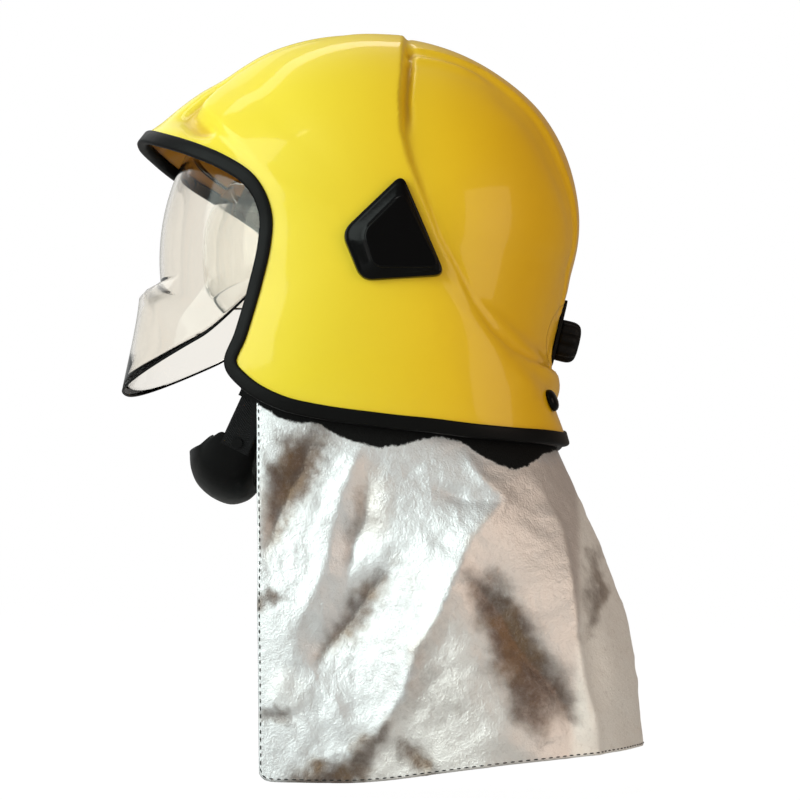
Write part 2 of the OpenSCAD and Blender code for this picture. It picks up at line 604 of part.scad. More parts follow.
post_at = [-31, 12];
module side_bracket(s) {
    on_side(s) difference() {
        union() {
            translate([0, 0, plate_in]) linear_extrude(plate_out - plate_in) {
                circle(d = 26, $fn = 64);
                translate([post_at[0] - pivot[1], post_at[1]]) circle(d = 20, $fn = 64);
                polygon([[2, 13], [-4, -12.5], [post_at[0] - pivot[1] - 5, post_at[1] - 8.5],
                    [post_at[0] - pivot[1] + 3, post_at[1] + 9.6]]);
            }
            translate([0, 0, plate_out]) cylinder(d = 16, h = flange_in - 0.05 - plate_out, $fn = 48);
            translate([0, 0, band_half_width + band_wall + 0.15])
                cylinder(d = 14, h = plate_in - band_half_width - band_wall - 0.15, $fn = 48);
            translate([post_at[0] - pivot[1], post_at[1], tab_out + seat_gap])
                cylinder(d = post_d + 6, h = plate_in - tab_out - seat_gap, $fn = 48);
            translate([post_at[0] - pivot[1], post_at[1], tab_in - seat_gap])
                cylinder(d = post_d, h = 3, $fn = 64);
            translate([post_at[0] - pivot[1], post_at[1], tab_in - seat_gap - 1.6])
                cylinder(d = post_d + 4, h = 1.6, $fn = 48);
        }
        cylinder(d = 4.1, h = 120, $fn = 32);
    }
}
module side_bracket_left() {
    color("gray")
    side_bracket(1);
}
module side_bracket_right() {
    color("gray")
    side_bracket(-1);
}

module bracket_screws() {
    color("silver")
    at_pivots() {
        translate([0, 0, band_half_width - 2.7]) cylinder(d = 8, h = 2.2, $fn = 48);
        translate([0, 0, band_half_width - 0.6]) cylinder(d = 4, h = flange_in - band_half_width
            + 4.6, $fn = 32);
    }
}

// Ratchet at the nape, drawn about the knob's axis: Z points out of the shell, Y down
knob_seat = [0, 113.9, -51];
knob_lean = 13.5;
sleeve_d = 12;
rack_z = -22;
rack_thick = 4;
teeth = 10;
pitch_r = teeth * gear_module / 2;
rack_back = pitch_r + 6.5;
rack_in = -4;
rack_out = 56;
module at_knob() {
    translate(knob_seat) rotate([-(90 + knob_lean), 0, 0]) children();
}

module knob_profile() {
    rotate_extrude($fn = 96) polygon([[0, 0], [knob_d / 2 - 0.8, 0], [knob_d / 2, 0.8],
        [knob_d / 2, knob_height - 3],
        [knob_d / 2 - 0.9, knob_height - 0.9], [knob_d / 2 - 3, knob_height], [0, knob_height]]);
}
module ratchet_knob() {
    color("black")
    at_knob() {
        translate([0, 0, 2.3]) difference() {
            knob_profile();
            for (a = [0:45:315]) rotate(a + 22.5) translate([knob_d / 2 + 2.2, 0, -1])
                cylinder(d = 7.5, h = knob_height + 2, $fn = 48);
        }
        translate([0, 0, rack_z + 2.2]) cylinder(d = shaft_d, h = 2.4 - rack_z - 2.2, $fn = 64);
        translate([0, 0, rack_z - 2]) cylinder(d = 4, h = 4.3, $fn = 48);
    }
}

function inv(a) = tan(a) * 180 / PI - a;
tooth_play = 2.2;
module pinion() {
    base_r = pitch_r * cos(20);
    tip_r = pitch_r + 0.9 * gear_module;
    root_r = pitch_r - 1.1 * gear_module;
    function flank(r) = 90 / teeth - tooth_play + inv(20) - inv(acos(min(1, base_r / r)));
    half = [for (k = [0:5]) let(r = lerp(base_r, tip_r, k / 5)) [flank(r), r]];
    side = concat([[flank(base_r) + 2, root_r]], half);
    n = len(side);
    points = [for (i = [0:teeth - 1]) let(m = 360 / teeth * i - 90) each concat(
        [for (p = side) p[1] * [cos(m - p[0]), sin(m - p[0])]],
        [for (k = [n - 1:-1:0]) side[k][1] * [cos(m + side[k][0]), sin(m + side[k][0])]])];
    color("silver")
    at_knob() translate([0, 0, rack_z - 1.9]) linear_extrude(3.8) difference() {
        polygon(points);
        circle(d = 4.04, $fn = 48);
    }
}

// Toothed tail of the headband; the left one runs above the pinion, the right one below.
module rack_shape() {
    pitch = PI * gear_module;
    half = pitch / 4 - 0.14;
    tip = pitch_r - 0.6 * gear_module;
    foot = pitch_r + 1.1 * gear_module;
    points = concat([[rack_in, rack_back], [rack_in, foot]],
        [for (k = [-1:7]) let(x = (k + 0.5) * pitch) each [[x - half - 1.1 * gear_module * tan(20),
            foot],
            [x - half + 0.6 * gear_module * tan(20), tip], [x + half - 0.6 * gear_module * tan(20),
                tip],
            [x + half + 1.1 * gear_module * tan(20), foot]]], [[rack_out, foot], [rack_out,
                rack_back]]);
    polygon(points);
}
module rack(s) {
    at_knob() translate([0, 0, rack_z - rack_thick / 2]) linear_extrude(rack_thick)
        rotate(s > 0 ? 0 : 180) mirror([0, 1]) rack_shape();
}
module rack_left() {
    color("silver")
    rack(1);
}
module rack_right() {
    color("silver")
    rack(-1);
}
module rack_way(s, play) {
    low = pitch_r - 0.6 * gear_module - play;
    high = rack_back + play;
    translate([s > 0 ? -28 : -70, s > 0 ? -high : low, rack_z - rack_thick / 2 - play])
        cube([98, high - low, rack_thick + 2 * play]);
}

module ratchet_housing() {
    color("dimgray")
    at_knob() difference() {
        union() {
            translate([-28, -14, rack_z - 5]) cube([56, 28, 10]);
            translate([0, 0, rack_z + 5]) cylinder(d = sleeve_d, h = -rack_z - 5, $fn = 64);
            translate([0, 0, -shell_wall - 4]) cylinder(d = 20, h = 2.9, $fn = 64);
        }
        rack_way(1, 0.25);
        rack_way(-1, 0.25);
        translate([0, 0, rack_z - 2.25]) cylinder(d = 2 * pitch_r + 2.6 * gear_module, h = 4.5,
            $fn = 64);
        translate([0, 0, rack_z]) cylinder(d = shaft_d + 2 * shaft_clearance, h = 30, $fn = 64);
    }
}

module knob_plate() {
    color("black")
    at_knob() translate([0, 0, 0.15]) linear_extrude(2) difference() {
        union() {
            translate([-13, -21]) square([26, 35]);
            translate([-8, -26]) square([16, 45]);
            for (s = [-1, 1]) {
                translate([s * 8, -21]) circle(d = 10, $fn = 48);
                translate([s * 8, 14]) circle(d = 10, $fn = 48);
            }
        }
        circle(d = shaft_d + 1, $fn = 48);
    }
}

module nape_pad() {
    sections = [for (x = [-30:6:30]) let(f = sqrt(max(0.05, 1 - pow(x / 31, 4))), h = 13 * (0.75
        + 0.25 * f), w = 6 * f)
        [[x, -h * 1.03, -0.3 - w * 0.5], [x, -h * 0.6, -0.3 - w], [x, h * 0.6, -0.3 - w],
            [x, h * 1.03, -0.3 - w * 0.5], [x, h, -0.3], [x, -h, -0.3]]];
    color("saddlebrown")
    at_knob() translate([0, 0, rack_z - 5]) swept(sections);
}

// Studs at the nape
stud_at = [62, 103, -97];
stud_shank = 5;
function facing(n) = let(x = unit(cross([0, 0, 1], n)), y = cross(n, x)) [x, y];
module on_normal(p, n) {
    f = facing(n);
    multmatrix([[f[0][0], f[1][0], n[0], p[0]], [f[0][1], f[1][1], n[1], p[1]],
        [f[0][2], f[1][2], n[2], p[2]], [0, 0, 0, 1]]) children();
}
module at_nape_studs() {
    for (s = [-1, 1]) let(p = form_point(unit([s * stud_at[0], stud_at[1], stud_at[2]] - form_c)))
        on_normal(p, form_normal(p)) children();
}
module nape_studs() {
    color("black")
    at_nape_studs() {
        translate([0, 0, -shell_wall]) cylinder(d = stud_shank, h = shell_wall + 1.2, $fn = 32);
        translate([0, 0, 0.5]) cylinder(d = 8, h = 0.7, $fn = 48);
        translate([0, 0, 1.1]) intersection() {
            cylinder(d = 14.5, h = 3.4, $fn = 64);
            translate([0, 0, -7]) sphere(r = 10.5, $fn = 64);
        }
    }
}

// Neck curtain and the rail that carries it inside the shell's edge
first_column = 35;
last_column = rim_n - first_column;
curtain_columns = [for (i = [first_column:last_column]) i];
function wall_point(i, t, depth) = lerp(shell_in[1][i], shell_in[2][i], t)
    - unit(lerp(shell_normals[1][i], shell_normals[2][i], t)) * depth;
rail_gap = 1.2;
rail_thick = 2;
rail_rows = [0.72, 0.1];
module curtain_rail() {
    color("dimgray")
    slab([for (t = rail_rows) [for (i = curtain_columns) wall_point(i, t, rail_gap)]],
        [for (t = rail_rows) [for (i = curtain_columns) wall_point(i, t, rail_gap + rail_thick)]]);
}
curtain_depth = rail_gap + rail_thick + 0.4;
hem_lift = 18;
// Main folds of the curtain, drawn on the left side: line from start to end in [y, z], share of
// the fold depth, and reach to either side of the line
folds = [
    [[[70, -163], [49.6, -187], [40.4, -208], [29, -233], [17, -253], [8.6, -280], [-4, -302],
        [-20, -317]], 1.2, 15, 26],
    [[[55.8, -216], [70, -233], [84.5, -257], [103, -278], [113, -300]], -0.95, 13, 15],
    [[[103, -169], [108, -187], [111, -216], [113, -241], [117, -270], [124, -296], [128, -330]],
        0.8, 7, 13],
    [[[0.4, -208], [-12, -222], [-26, -241], [-43, -259]], -0.7, 12, 13],
    [[[-45, -118], [-53, -142], [-67, -169], [-80, -200]], -0.7, 13, 12],
    [[[-14, -125], [-30, -165], [-38, -205], [-55, -240]], 0.5, 12, 12],
    [[[-12, -150], [-14, -175], [-22, -192], [-24, -208]], -0.55, 9, 10],
    [[[-60, -250], [-30, -290], [-15, -325]], 0.35, 16, 16]];
// The folds of the right side lie lower and further on by this much
fold_shift = [9, 14];
function away(p, a, b) = let(d = b - a, t = max(0, min(1, ((p - a) * d) / (d * d))))
    norm(p - a - d * t);
function fold_height(fold, p) = let(line = fold[0],
    gaps = [for (k = [0:len(line) - 2]) away(p, line[k], line[k + 1])], gap = min(gaps),
    k = search(gap, gaps)[0], a = line[k], d = line[k + 1] - a,
    turn = d[0] * (p[1] - a[1]) - d[1] * (p[0] - a[0]), side = turn / (abs(turn) + 6),
    reach = (fold[2] + fold[3]) / 2 + (fold[2] - fold[3]) / 2 * side)
    fold[1] * exp(-1.5 * (norm([gap, 2]) - 2) / reach);
function total(v) = v * [for (x = v) 1];
function fold_at(p, below, flat) = let(right = ease((25 - p[0]) / 50),
    sideways = ease((abs(flat[0]) - 0.12) / 0.35), q = [p[1], p[2]],
    left_folds = right < 1 ? total([for (f = folds) fold_height(f, q)]) : 0,
    right_folds = right > 0 ? total([for (f = folds) fold_height(f, q + fold_shift)]) : 0,
    nape = 0.65 * sin(p[0] * 3.82 + 46 + p[2] * 0.64) * ease((below - 20) / 120))
    (lerp(nape, lerp(left_folds, right_folds, right), sideways)) * ease((below - 4) / 26);
function curtain_point(i, row, depth) = row < 2
    ? wall_point(i, [0.68, 0.1][row], curtain_depth + depth)
    : let(q = shell_in[0][i], n = shell_normals[0][i], flat = unit([n[0], n[1], 0]),
        start = q - n * (curtain_depth + depth), v = (row - 2) / 10, back = ease((q[1] + 30) / 140),
        drop = v * (start[2] + 116 + curtain_drop - hem_lift * back) + 3,
        flare = (4 + 48 * back) * sin(90 * v), ahead = 4 * ease(v / 0.2) * ease((-q[1] - 30) / 40),
        hung = start + flat * flare - [0, ahead, drop])
    hung + flat * fold_depth * fold_at(hung + flat * depth, q[2] - hung[2], flat);
module neck_curtain() {
    color("silver")
    slab([for (row = [0:12]) [for (i = curtain_columns) curtain_point(i, row, 0)]],
        [for (row = [0:12]) [for (i = curtain_columns) curtain_point(i, row, curtain_cloth)]]);
}
module curtain_snaps() {
    color("silver")
    for (i = [first_column + 3:6:last_column - 3]) let(n = -unit(lerp(shell_normals[1][i],
        shell_normals[2][i], 0.4)))
        on_normal(wall_point(i, 0.4, curtain_depth + curtain_cloth + 0.9), n) {
            cylinder(d = 7.5, h = 1, $fn = 48);
            translate([0, 0, 1]) cylinder(d = 5, h = 1, $fn = 48);
        }
}

// Chin strap
strap_top = [tab_out + 1, post_at[0], post_at[1]];
strap_foot = [45.1, -98, -128];
strap_run = norm(strap_foot - strap_top);
// Frame of the straight strap: X outward through the webbing, Y across it, Z up along it
module along_strap(s) {
    up = unit(strap_top - strap_foot);
    out = unit([1, 0, 0] - up[0] * up);
    wide = cross(up, out);
    mirror([s > 0 ? 0 : 1, 0, 0]) multmatrix([[out[0], wide[0], up[0], strap_top[0]], [out[1],
        wide[1], up[1], strap_top[1]],
        [out[2], wide[2], up[2], strap_top[2]], [0, 0, 0, 1]]) children();
}
module at_cup_rivet(s) {
    along_strap(s) translate([0, 0, 5 - strap_run]) rotate([0, 90, 0]) children();
}
module webbing(s, from, to) {
    difference() {
        along_strap(s) translate([0.05, -webbing_width / 2, -to])
            cube([webbing_thickness, webbing_width, to - from]);
        at_cup_rivet(s) translate([0, 0, -1]) cylinder(d = cup_rivet_d + 0.1, h = 4, $fn = 32);
    }
}
module strap_tab(s) {
    difference() {
        union() {
            on_side(s) translate([post_at[0] - pivot[1], post_at[1], tab_in]) cylinder(d = post_d
                + 10, h = 2, $fn = 64);
            along_strap(s) translate([-2, -6, -26]) cube([2, 12, 18.6]);
        }
        on_side(s) translate([post_at[0] - pivot[1], post_at[1], tab_in - 5])
            cylinder(d = post_d + 2 * post_clearance, h = 12, $fn = 64);
    }
}
module strap_tab_left() {
    color("silver")
    strap_tab(1);
}
module strap_tab_right() {
    color("silver")
    strap_tab(-1);
}
module webbing_left() {
    color("black")
    webbing(1, 11, strap_run);
}
buckle_at = 64;
module webbing_right_upper() {
    color("black")
    webbing(-1, 11, buckle_at + 6);
}
module webbing_right_lower() {
    color("black")
    webbing(-1, buckle_at + 34, strap_run);
}
module buckle_body() {
    color("dimgray")
    along_strap(-1) difference() {
        translate([-3.2, -14, -buckle_at - 28]) cube([8.4, 28, 28]);
        translate([-0.2, -webbing_width / 2 - 0.2, -buckle_at - 6.1]) cube([webbing_thickness
            + 0.5, webbing_width + 0.4, 7]);
        translate([-0.9, -9, -buckle_at - 29]) cube([3.4, 18, 21]);
        translate([1, 0, -buckle_at - 16]) rotate([0, 90, 0]) cylinder(d = 10, h = 6, $fn = 64);
    }
}
module buckle_button() {
    color("red")
    along_strap(-1) translate([3.1, 0, -buckle_at - 16]) rotate([0, 90, 0]) cylinder(d = 9.9,
        h = 3.6, $fn = 64);
}
module buckle_tongue() {
    color("dimgray")
    along_strap(-1) difference() {
        union() {
            translate([-0.7, -8.8, -buckle_at - 36]) cube([3, 17.6, 27.8]);
            translate([-0.7, -11, -buckle_at - 44]) cube([0.7, 22, 15.5]);
        }
        translate([-2, 0, -buckle_at - 16]) rotate([0, 90, 0]) cylinder(d = 11, h = 6, $fn = 64);
        translate([0.0, -12, -buckle_at - 45]) cube([4, 24, 13]);
    }
}
module strap_keeper() {
    color("gray")
    for (s = [-1, 1]) along_strap(s) translate([0, 0, -strap_run + 34]) difference() {
        translate([-1.8, -webbing_width / 2 - 2, 0]) cube([webbing_thickness + 3.6, webbing_width
            + 4, 6]);
        translate([-0.05, -webbing_width / 2 - 0.1, -1]) cube([webbing_thickness + 0.2,
            webbing_width + 0.2, 8]);
    }
}
cup_wall = 2.6;
cup_rivet_d = 3;
cup_line = [[-130, -128], [-129, -139], [-124.5, -149.5], [-115, -158], [-103, -162.5], [-92,
    -160], [-85, -154]];
function cup_row(k, inset) = [for (a = [-84:12:84]) let(p = cup_line[k], rise = pow(1 - cos(a), 1.1),
    c = [-104, -140], d = unit(c - p))
    [(cup_half_width + 1 - inset) * sin(a), lerp(p[0], -99 + (p[0] + 105) * 0.5, rise)
        + d[0] * inset * cos(a),
        lerp(p[1], -126 + (p[1] + 145) * 0.25, rise) + d[1] * inset * cos(a)]];
module chin_cup() {
    color("black")
    difference() {
        slab([for (k = [0:6]) cup_row(k, 0)], [for (k = [0:6]) cup_row(k, cup_wall)]);
        for (s = [-1, 1]) at_cup_rivet(s) translate([0, 0, -8])
            cylinder(d = cup_rivet_d + 0.1, h = 10, $fn = 32);
    }
}

module cup_rivets() {
    color("silver")
    for (s = [-1, 1]) at_cup_rivet(s) {
        translate([0, 0, -cup_wall - 2.2])
            cylinder(d = cup_rivet_d, h = cup_wall + webbing_thickness + 3, $fn = 32);
        translate([0, 0, webbing_thickness + 0.15]) cylinder(d = 7, h = 1.2, $fn = 48);
    }
}

outer_shell();
edge_trim();
impact_liner();
pivot_bushes();
outer_spacers();
inner_spacers();
pivot_screws();
side_cover_left();
side_cover_right();
face_arm_left();
face_arm_right();
face_shield();
face_shield_edge();
face_rivet_set();
eye_arm_left();
eye_arm_right();
eye_shield();
eye_rivet_set();
headband();
brow_pad();
cradle_strap_cross();
cradle_strap_left();
cradle_strap_right();
cradle_rivets();
side_bracket_left();
side_bracket_right();
bracket_screws();
ratchet_knob();
pinion();
rack_left();
rack_right();
ratchet_housing();
knob_plate();
nape_pad();
nape_studs();
curtain_rail();
neck_curtain();
curtain_snaps();
strap_tab_left();
strap_tab_right();
webbing_left();
webbing_right_upper();
webbing_right_lower();
buckle_body();
buckle_button();
buckle_tongue();
strap_keeper();
chin_cup();
cup_rivets();
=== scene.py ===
import math

import bpy
import numpy as np
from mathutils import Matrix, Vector


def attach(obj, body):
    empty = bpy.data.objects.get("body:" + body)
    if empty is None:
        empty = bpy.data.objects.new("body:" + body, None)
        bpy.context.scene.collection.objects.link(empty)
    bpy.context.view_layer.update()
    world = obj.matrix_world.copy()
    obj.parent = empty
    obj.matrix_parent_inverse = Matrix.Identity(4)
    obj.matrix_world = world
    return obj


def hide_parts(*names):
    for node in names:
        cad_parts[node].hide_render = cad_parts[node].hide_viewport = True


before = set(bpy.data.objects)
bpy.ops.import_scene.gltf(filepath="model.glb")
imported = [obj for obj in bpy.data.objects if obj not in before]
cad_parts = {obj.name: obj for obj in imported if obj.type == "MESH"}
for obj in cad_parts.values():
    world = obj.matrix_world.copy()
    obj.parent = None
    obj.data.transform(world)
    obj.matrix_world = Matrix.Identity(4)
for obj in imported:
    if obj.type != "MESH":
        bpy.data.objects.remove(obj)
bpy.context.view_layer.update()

# Camera: low beside the helmet's left side, looking a little upwards. The view takes in the
# brow, the side of the shell and the whole hanging curtain.
look_at = Vector((0, 0.010, -0.0925))
camera_away = 1.4
camera_turn = math.radians(88.8)
camera_rise = math.radians(-4.5)
camera = bpy.data.objects.new("camera", bpy.data.cameras.new("camera"))
bpy.context.scene.collection.objects.link(camera)
camera.location = look_at + camera_away * Vector(
    (
        math.sin(camera_turn) * math.cos(camera_rise),
        -math.cos(camera_turn) * math.cos(camera_rise),
        math.sin(camera_rise),
    )
)
camera.rotation_euler = (look_at - camera.location).to_track_quat("-Z", "Y").to_euler()
camera.data.lens = 94.03
camera.data.clip_start = 0.05
bpy.context.scene.camera = camera
bpy.context.scene.view_settings.view_transform = "Standard"


# Studio: a pale floor under the curtain's hem, a surround that is white to the camera, and
# soft lamps. The brightest one stands before the brow; a weaker, warm one lights the nape.
class Value:
    """A socket in a material's tree, so that shader maths reads as plain expressions."""

    def __init__(self, finish, socket):
        self.finish = finish
        self.socket = socket

    def maths(self, operation, *parts):
        return self.finish.node("ShaderNodeMath", dict(enumerate(parts)), operation=operation)

    def __add__(self, other):
        return self.maths("ADD", self, other)

    __radd__ = __add__

    def __sub__(self, other):
        return self.maths("SUBTRACT", self, other)

    def __rsub__(self, other):
        return self.maths("SUBTRACT", other, self)

    def __mul__(self, other):
        return self.maths("MULTIPLY", self, other)

    __rmul__ = __mul__

    def __truediv__(self, other):
        return self.maths("DIVIDE", self, other)

    def __pow__(self, other):
        return self.maths("POWER", self, other)

    def sine(self):
        return self.maths("SINE", self)

    def step(self, low, high):
        """0 below low, 1 above high, and a smooth run between them."""
        return self.finish.node(
            "ShaderNodeMapRange",
            {"Value": self, "From Min": low, "From Max": high},
            interpolation_type="SMOOTHSTEP",
        )


class Finish:
    """A material on a Principled shader: plain values are set on its sockets when it is made."""

    def __init__(self, name, **values):
        self.material = bpy.data.materials.new(name)
        self.material.use_nodes = True
        self.tree = self.material.node_tree
        self.shader = self.tree.nodes["Principled BSDF"]
        for word, value in values.items():
            self.set(word.replace("_", " "), value)

    def put(self, socket, value):
        """Links a Value to a socket, or sets the socket to a plain value."""
        if isinstance(value, Value):
            self.tree.links.new(value.socket, socket)
        elif isinstance(value, tuple) and len(value) == 3 and socket.type == "RGBA":
            socket.default_value = (*value, 1)
        else:
            socket.default_value = value

    def set(self, word, value):
        """Sets one of the shader's sockets by its name."""
        socket = {s.name.lower(): s for s in self.shader.inputs}[word.lower()]
        self.put(socket, value)

    def node(self, kind, sockets=None, out=0, **settings):
        """Adds a node with its sockets and its own settings, and gives one of its outputs."""
        made = self.tree.nodes.new(kind)
        for word, value in settings.items():
            setattr(made, word, value)
        for word, value in (sockets or {}).items():
            self.put(made.inputs[word], value)
        return Value(self, made.outputs[out])

    def place(self, out="Object"):
        return self.node("ShaderNodeTexCoord", out=out)

    def noise(self, scale, detail=3.0, rough=0.5, at=None, warp=0.0):
        return self.node(
            "ShaderNodeTexNoise",
            {
                "Vector": at or self.place(),
                "Scale": scale,
                "Detail": detail,
                "Roughness": rough,
                "Distortion": warp,
            },
        )

    def stretched(self, scale):
        return self.node("ShaderNodeMapping", {"Vector": self.place(), "Scale": scale})

    def mix(self, factor, first, second):
        return self.node("ShaderNodeMix", {0: factor, 6: first, 7: second}, out=2, data_type="RGBA")

    def marked(self, word):
        """A value that the piece keeps on its points."""
        return self.node("ShaderNodeAttribute", out="Fac", attribute_name=word)

    def bump(self, *layers):
        """Each layer is a height from 0 to 1 and how deep that is in metres."""
        normal = None
        for height, depth in layers:
            sockets = {"Height": height, "Distance": depth, "Strength": 1.0}
            if normal:
                sockets["Normal"] = normal
            normal = self.node("ShaderNodeBump", sockets)
        self.set("Normal", normal)

    def on(self, thing):
        """Gives the material to a piece, in place of what it has."""
        thing.data.materials.clear()
        thing.data.materials.append(self.material)


floor_height = -0.345
floor_size = 12
glow_strength = 1.09
glow_share = 0.9
bpy.ops.mesh.primitive_plane_add(size=floor_size, location=(0, 0, floor_height))
floor = bpy.context.object
floor.name = "floor"
floor_finish = Finish("pale_floor", Base_Color=(0.60, 0.60, 0.60), Roughness=0.7)
lit = Value(floor_finish, floor_finish.shader.outputs[0])
glow = floor_finish.node("ShaderNodeEmission", {"Color": (1, 1, 1), "Strength": glow_strength})
glows = glow_share * floor_finish.node("ShaderNodeLightPath", out="Is Camera Ray")
surface = floor_finish.node("ShaderNodeMixShader", {0: glows, 1: lit, 2: glow})
floor_finish.put(floor_finish.tree.nodes["Material Output"].inputs["Surface"], surface)
floor_finish.on(floor)


class Surround(Finish):
    """The world's shader: white to the camera, and a soft light that is warmer behind."""

    def __init__(self, name):
        world = bpy.data.worlds.new(name)
        world.use_nodes = True
        bpy.context.scene.world = world
        self.tree = world.node_tree
        self.shader = self.tree.nodes["Background"]


surround = Surround("surround")
camera_ray, glass_ray, gloss_ray = (
    surround.node("ShaderNodeLightPath", out=f"Is {ray} Ray") for ray in ("Camera", "Transmission", "Glossy")
)
seen = (camera_ray + glass_ray).step(0.0, 1.0)
aim_y = surround.node("ShaderNodeSeparateXYZ", {"Vector": surround.place("Generated")}, out="Y")
to_rear = aim_y.step(-0.5, 0.75)
soft = surround.mix(to_rear, (0.96, 1.0, 1.0), (1.0, 0.80, 0.66))
soft_strength = (0.37 + 0.03 * gloss_ray) * (1 - 0.42 * to_rear)
surround.set("Color", surround.mix(seen, soft, (1.0, 1.0, 1.0)))
surround.set("Strength", seen + (1 - seen) * soft_strength)


def lamp(name, place, aim, size, power, colour):
    """A rectangular area lamp that points from its place at its aim."""
    light = bpy.data.lights.new(name, "AREA")
    light.shape = "RECTANGLE"
    light.size, light.size_y = size
    light.energy = power
    light.color = colour
    thing = bpy.data.objects.new(name, light)
    bpy.context.scene.collection.objects.link(thing)
    thing.location = place
    thing.rotation_euler = (Vector(aim) - Vector(place)).to_track_quat("-Z", "Y").to_euler()


lamp("front_lamp", (1.1, -1.5, 0.7), (0, 0, 0.05), (1.6, 1.6), 33, (0.88, 1.0, 0.95))
lamp("top_lamp", (-0.40, -0.35, 1.6), (0, 0, 0), (1.8, 0.22), 5.5, (1.0, 0.99, 0.95))
lamp("nape_lamp", (1.2, 1.3, 0.0), (0, 0, -0.15), (1.0, 1.6), 10.5, (1.0, 0.82, 0.68))
lamp("chin_lamp", (0.7, -1.3, -0.5), (0, -0.1, 0), (1.0, 1.0), 4, (1.0, 0.98, 0.95))
lamp("far_lamp", (-1.2, -1.0, 1.4), (0, 0, 0), (1.2, 1.2), 5, (1.0, 1.0, 1.0))


# Outer shell: one injection-moulded shell of yellow thermoplastic with a clear lacquer. Its
# middle outline and its edge are drawn, in millimetres; the sides swell between them. A
# crest, two side lobes, an ear-to-ear step and a nape band are moulded in.
half_width = 118.0
wall = 3.0
side_power = 2.3
lobe_rise = 3.0
valley_depth = 2.8
valley_half = 4.8
valley_round = 5.0
panel_fall = 1.4
shoulder_rise = 1.8
hollow_depth = 0.9
recess_depth = 3.2
crease_depth = 0.8
band_rise = 1.6
collar_rise = 1.3
centre = np.array([0.0, 5.0, 0.0])
knob_seat = np.array([0.0, 113.9, -51.0])
pole = np.array([0.0, math.sin(math.radians(34)), math.cos(math.radians(34))])
# Y and Z of the middle outline, which goes on below the nape and the brow to close the form.
outline = np.array(
    [
        [-165, 78], [-151, 90], [-137, 102], [-124, 111.5], [-110, 119.5], [-97, 128.5],
        [-84, 136.5], [-70, 142.5], [-50, 148], [-25, 151], [0, 150], [25, 146.5], [50, 138.5],
        [77, 123.5], [104, 99.5], [119, 75], [127.5, 48], [130, 25], [128, 5], [122, -14],
        [115, -44], [109, -70], [111, -76], [114, -83], [113, -91], [112.5, -100],
        [116.5, -111.5], [121, -121], [119, -182], [95, -246], [5, -285], [-126, -227],
        [-157, -136], [-155, -71], [-154, -34], [-153, 0], [-153, 25], [-162, 54],
    ],
    float,
)
# X, Y and Z of the edge's left half, from the brow to the nape.
edge_line = np.array(
    [
        [0, -165, 78], [34, -160, 76], [62, -147, 68.5], [84, -126, 58.5], [97, -105, 47.5],
        [104, -88, 35], [105.5, -79, 18], [105, -79, -4], [103, -85, -30], [100, -93, -58],
        [97, -100, -77], [101, -90, -91.5], [107, -67, -105], [110, -40, -111.5], [111, -5, -116],
        [109, 35, -120], [100, 71, -123.5], [78, 101, -125], [42, 117, -123.5], [0, 121, -121],
    ],
    float,
)
# Z and Y of the ear-to-ear step.
ridge_line = np.array(
    [
        [-78, 125], [-74, 91], [-68, 77], [-57, 64], [-39, 51], [-20, 42], [0, 31], [22, 23],
        [48, 13], [68, 8], [90, 7], [150, 12],
    ],
    float,
)
# Y and Z of the edge beside the brow; then the turn over the crown and the half width there
# of the lobes' inner side and of the crest behind the step.
brow_edge = np.array(
    [[-165, 78], [-147, 68], [-126, 58], [-105, 47], [-88, 35], [-79, 18], [-60, -40]], float
)
shoulder_line = np.array([[30, 60], [40, 56], [48, 50], [59, 52], [72, 52], [85, 44], [92, 40]], float)
crest_line = np.array(
    [[90, 64], [105, 58], [115, 54], [130, 56], [151, 54], [172, 38], [190, 30], [225, 30]], float
)


def ease(t):
    """Smooth run from 0 to 1 as t goes from 0 to 1, flat before and after."""
    s = np.clip(t, 0, 1)
    return s * s * (3 - 2 * s)


def unit(v):
    """Vectors with their length made 1."""
    return v / np.linalg.norm(v, axis=-1, keepdims=True)


def turn_of(y, z):
    """Degrees about the centre from straight ahead, up over the crown and down to the nape."""
    a = np.degrees(np.arctan2(z, -(y - centre[1])))
    return np.where(a < -134, a + 360, a)


def make_profile():
    """Distance to the middle outline at each quarter of a degree, smoothed a little."""
    angle = turn_of(outline[:, 0], outline[:, 1])
    reach = np.hypot(outline[:, 0] - centre[1], outline[:, 1])
    order = np.argsort(angle)
    angle, reach = angle[order], reach[order]
    angle = np.concatenate([angle[-3:] - 360, angle, angle[:3] + 360])
    reach = np.concatenate([reach[-3:], reach, reach[:3]])
    slope = np.zeros(len(angle))
    slope[1:-1] = (reach[2:] - reach[:-2]) / (angle[2:] - angle[:-2])
    step, spread, each_way = 0.25, 1.1, 16
    fine = np.arange(-140, 236, step)
    k = np.clip(np.searchsorted(angle, fine, side="right") - 1, 1, len(angle) - 3)
    h = angle[k + 1] - angle[k]
    t = (fine - angle[k]) / h
    value = (
        (1 + 2 * t) * (1 - t) ** 2 * reach[k]
        + t * (1 - t) ** 2 * h * slope[k]
        + t * t * (3 - 2 * t) * reach[k + 1]
        - t * t * (1 - t) * h * slope[k + 1]
    )
    weight = np.exp(-((np.arange(-each_way, each_way + 1) * step / spread) ** 2) / 2)
    weight /= weight.sum()
    padded = np.concatenate([value[:1].repeat(each_way), value, value[-1:].repeat(each_way)])
    return fine, np.convolve(padded, weight, "valid")


profile_angle, profile_reach = make_profile()


def form_reach(d):
    """Distance from the centre to the plain form, without its relief, in a direction."""
    a = turn_of(d[..., 1] + centre[1], d[..., 2])
    r = np.hypot(d[..., 1], d[..., 2])
    p = np.interp(a, profile_angle, profile_reach)
    return ((np.abs(d[..., 0]) / half_width) ** side_power + (r / p) ** side_power) ** (-1 / side_power)


def gauge(p):
    """1 on the plain form, less inside and more outside."""
    v = p - centre
    m = np.linalg.norm(v, axis=-1)
    return m / form_reach(v / m[..., None])


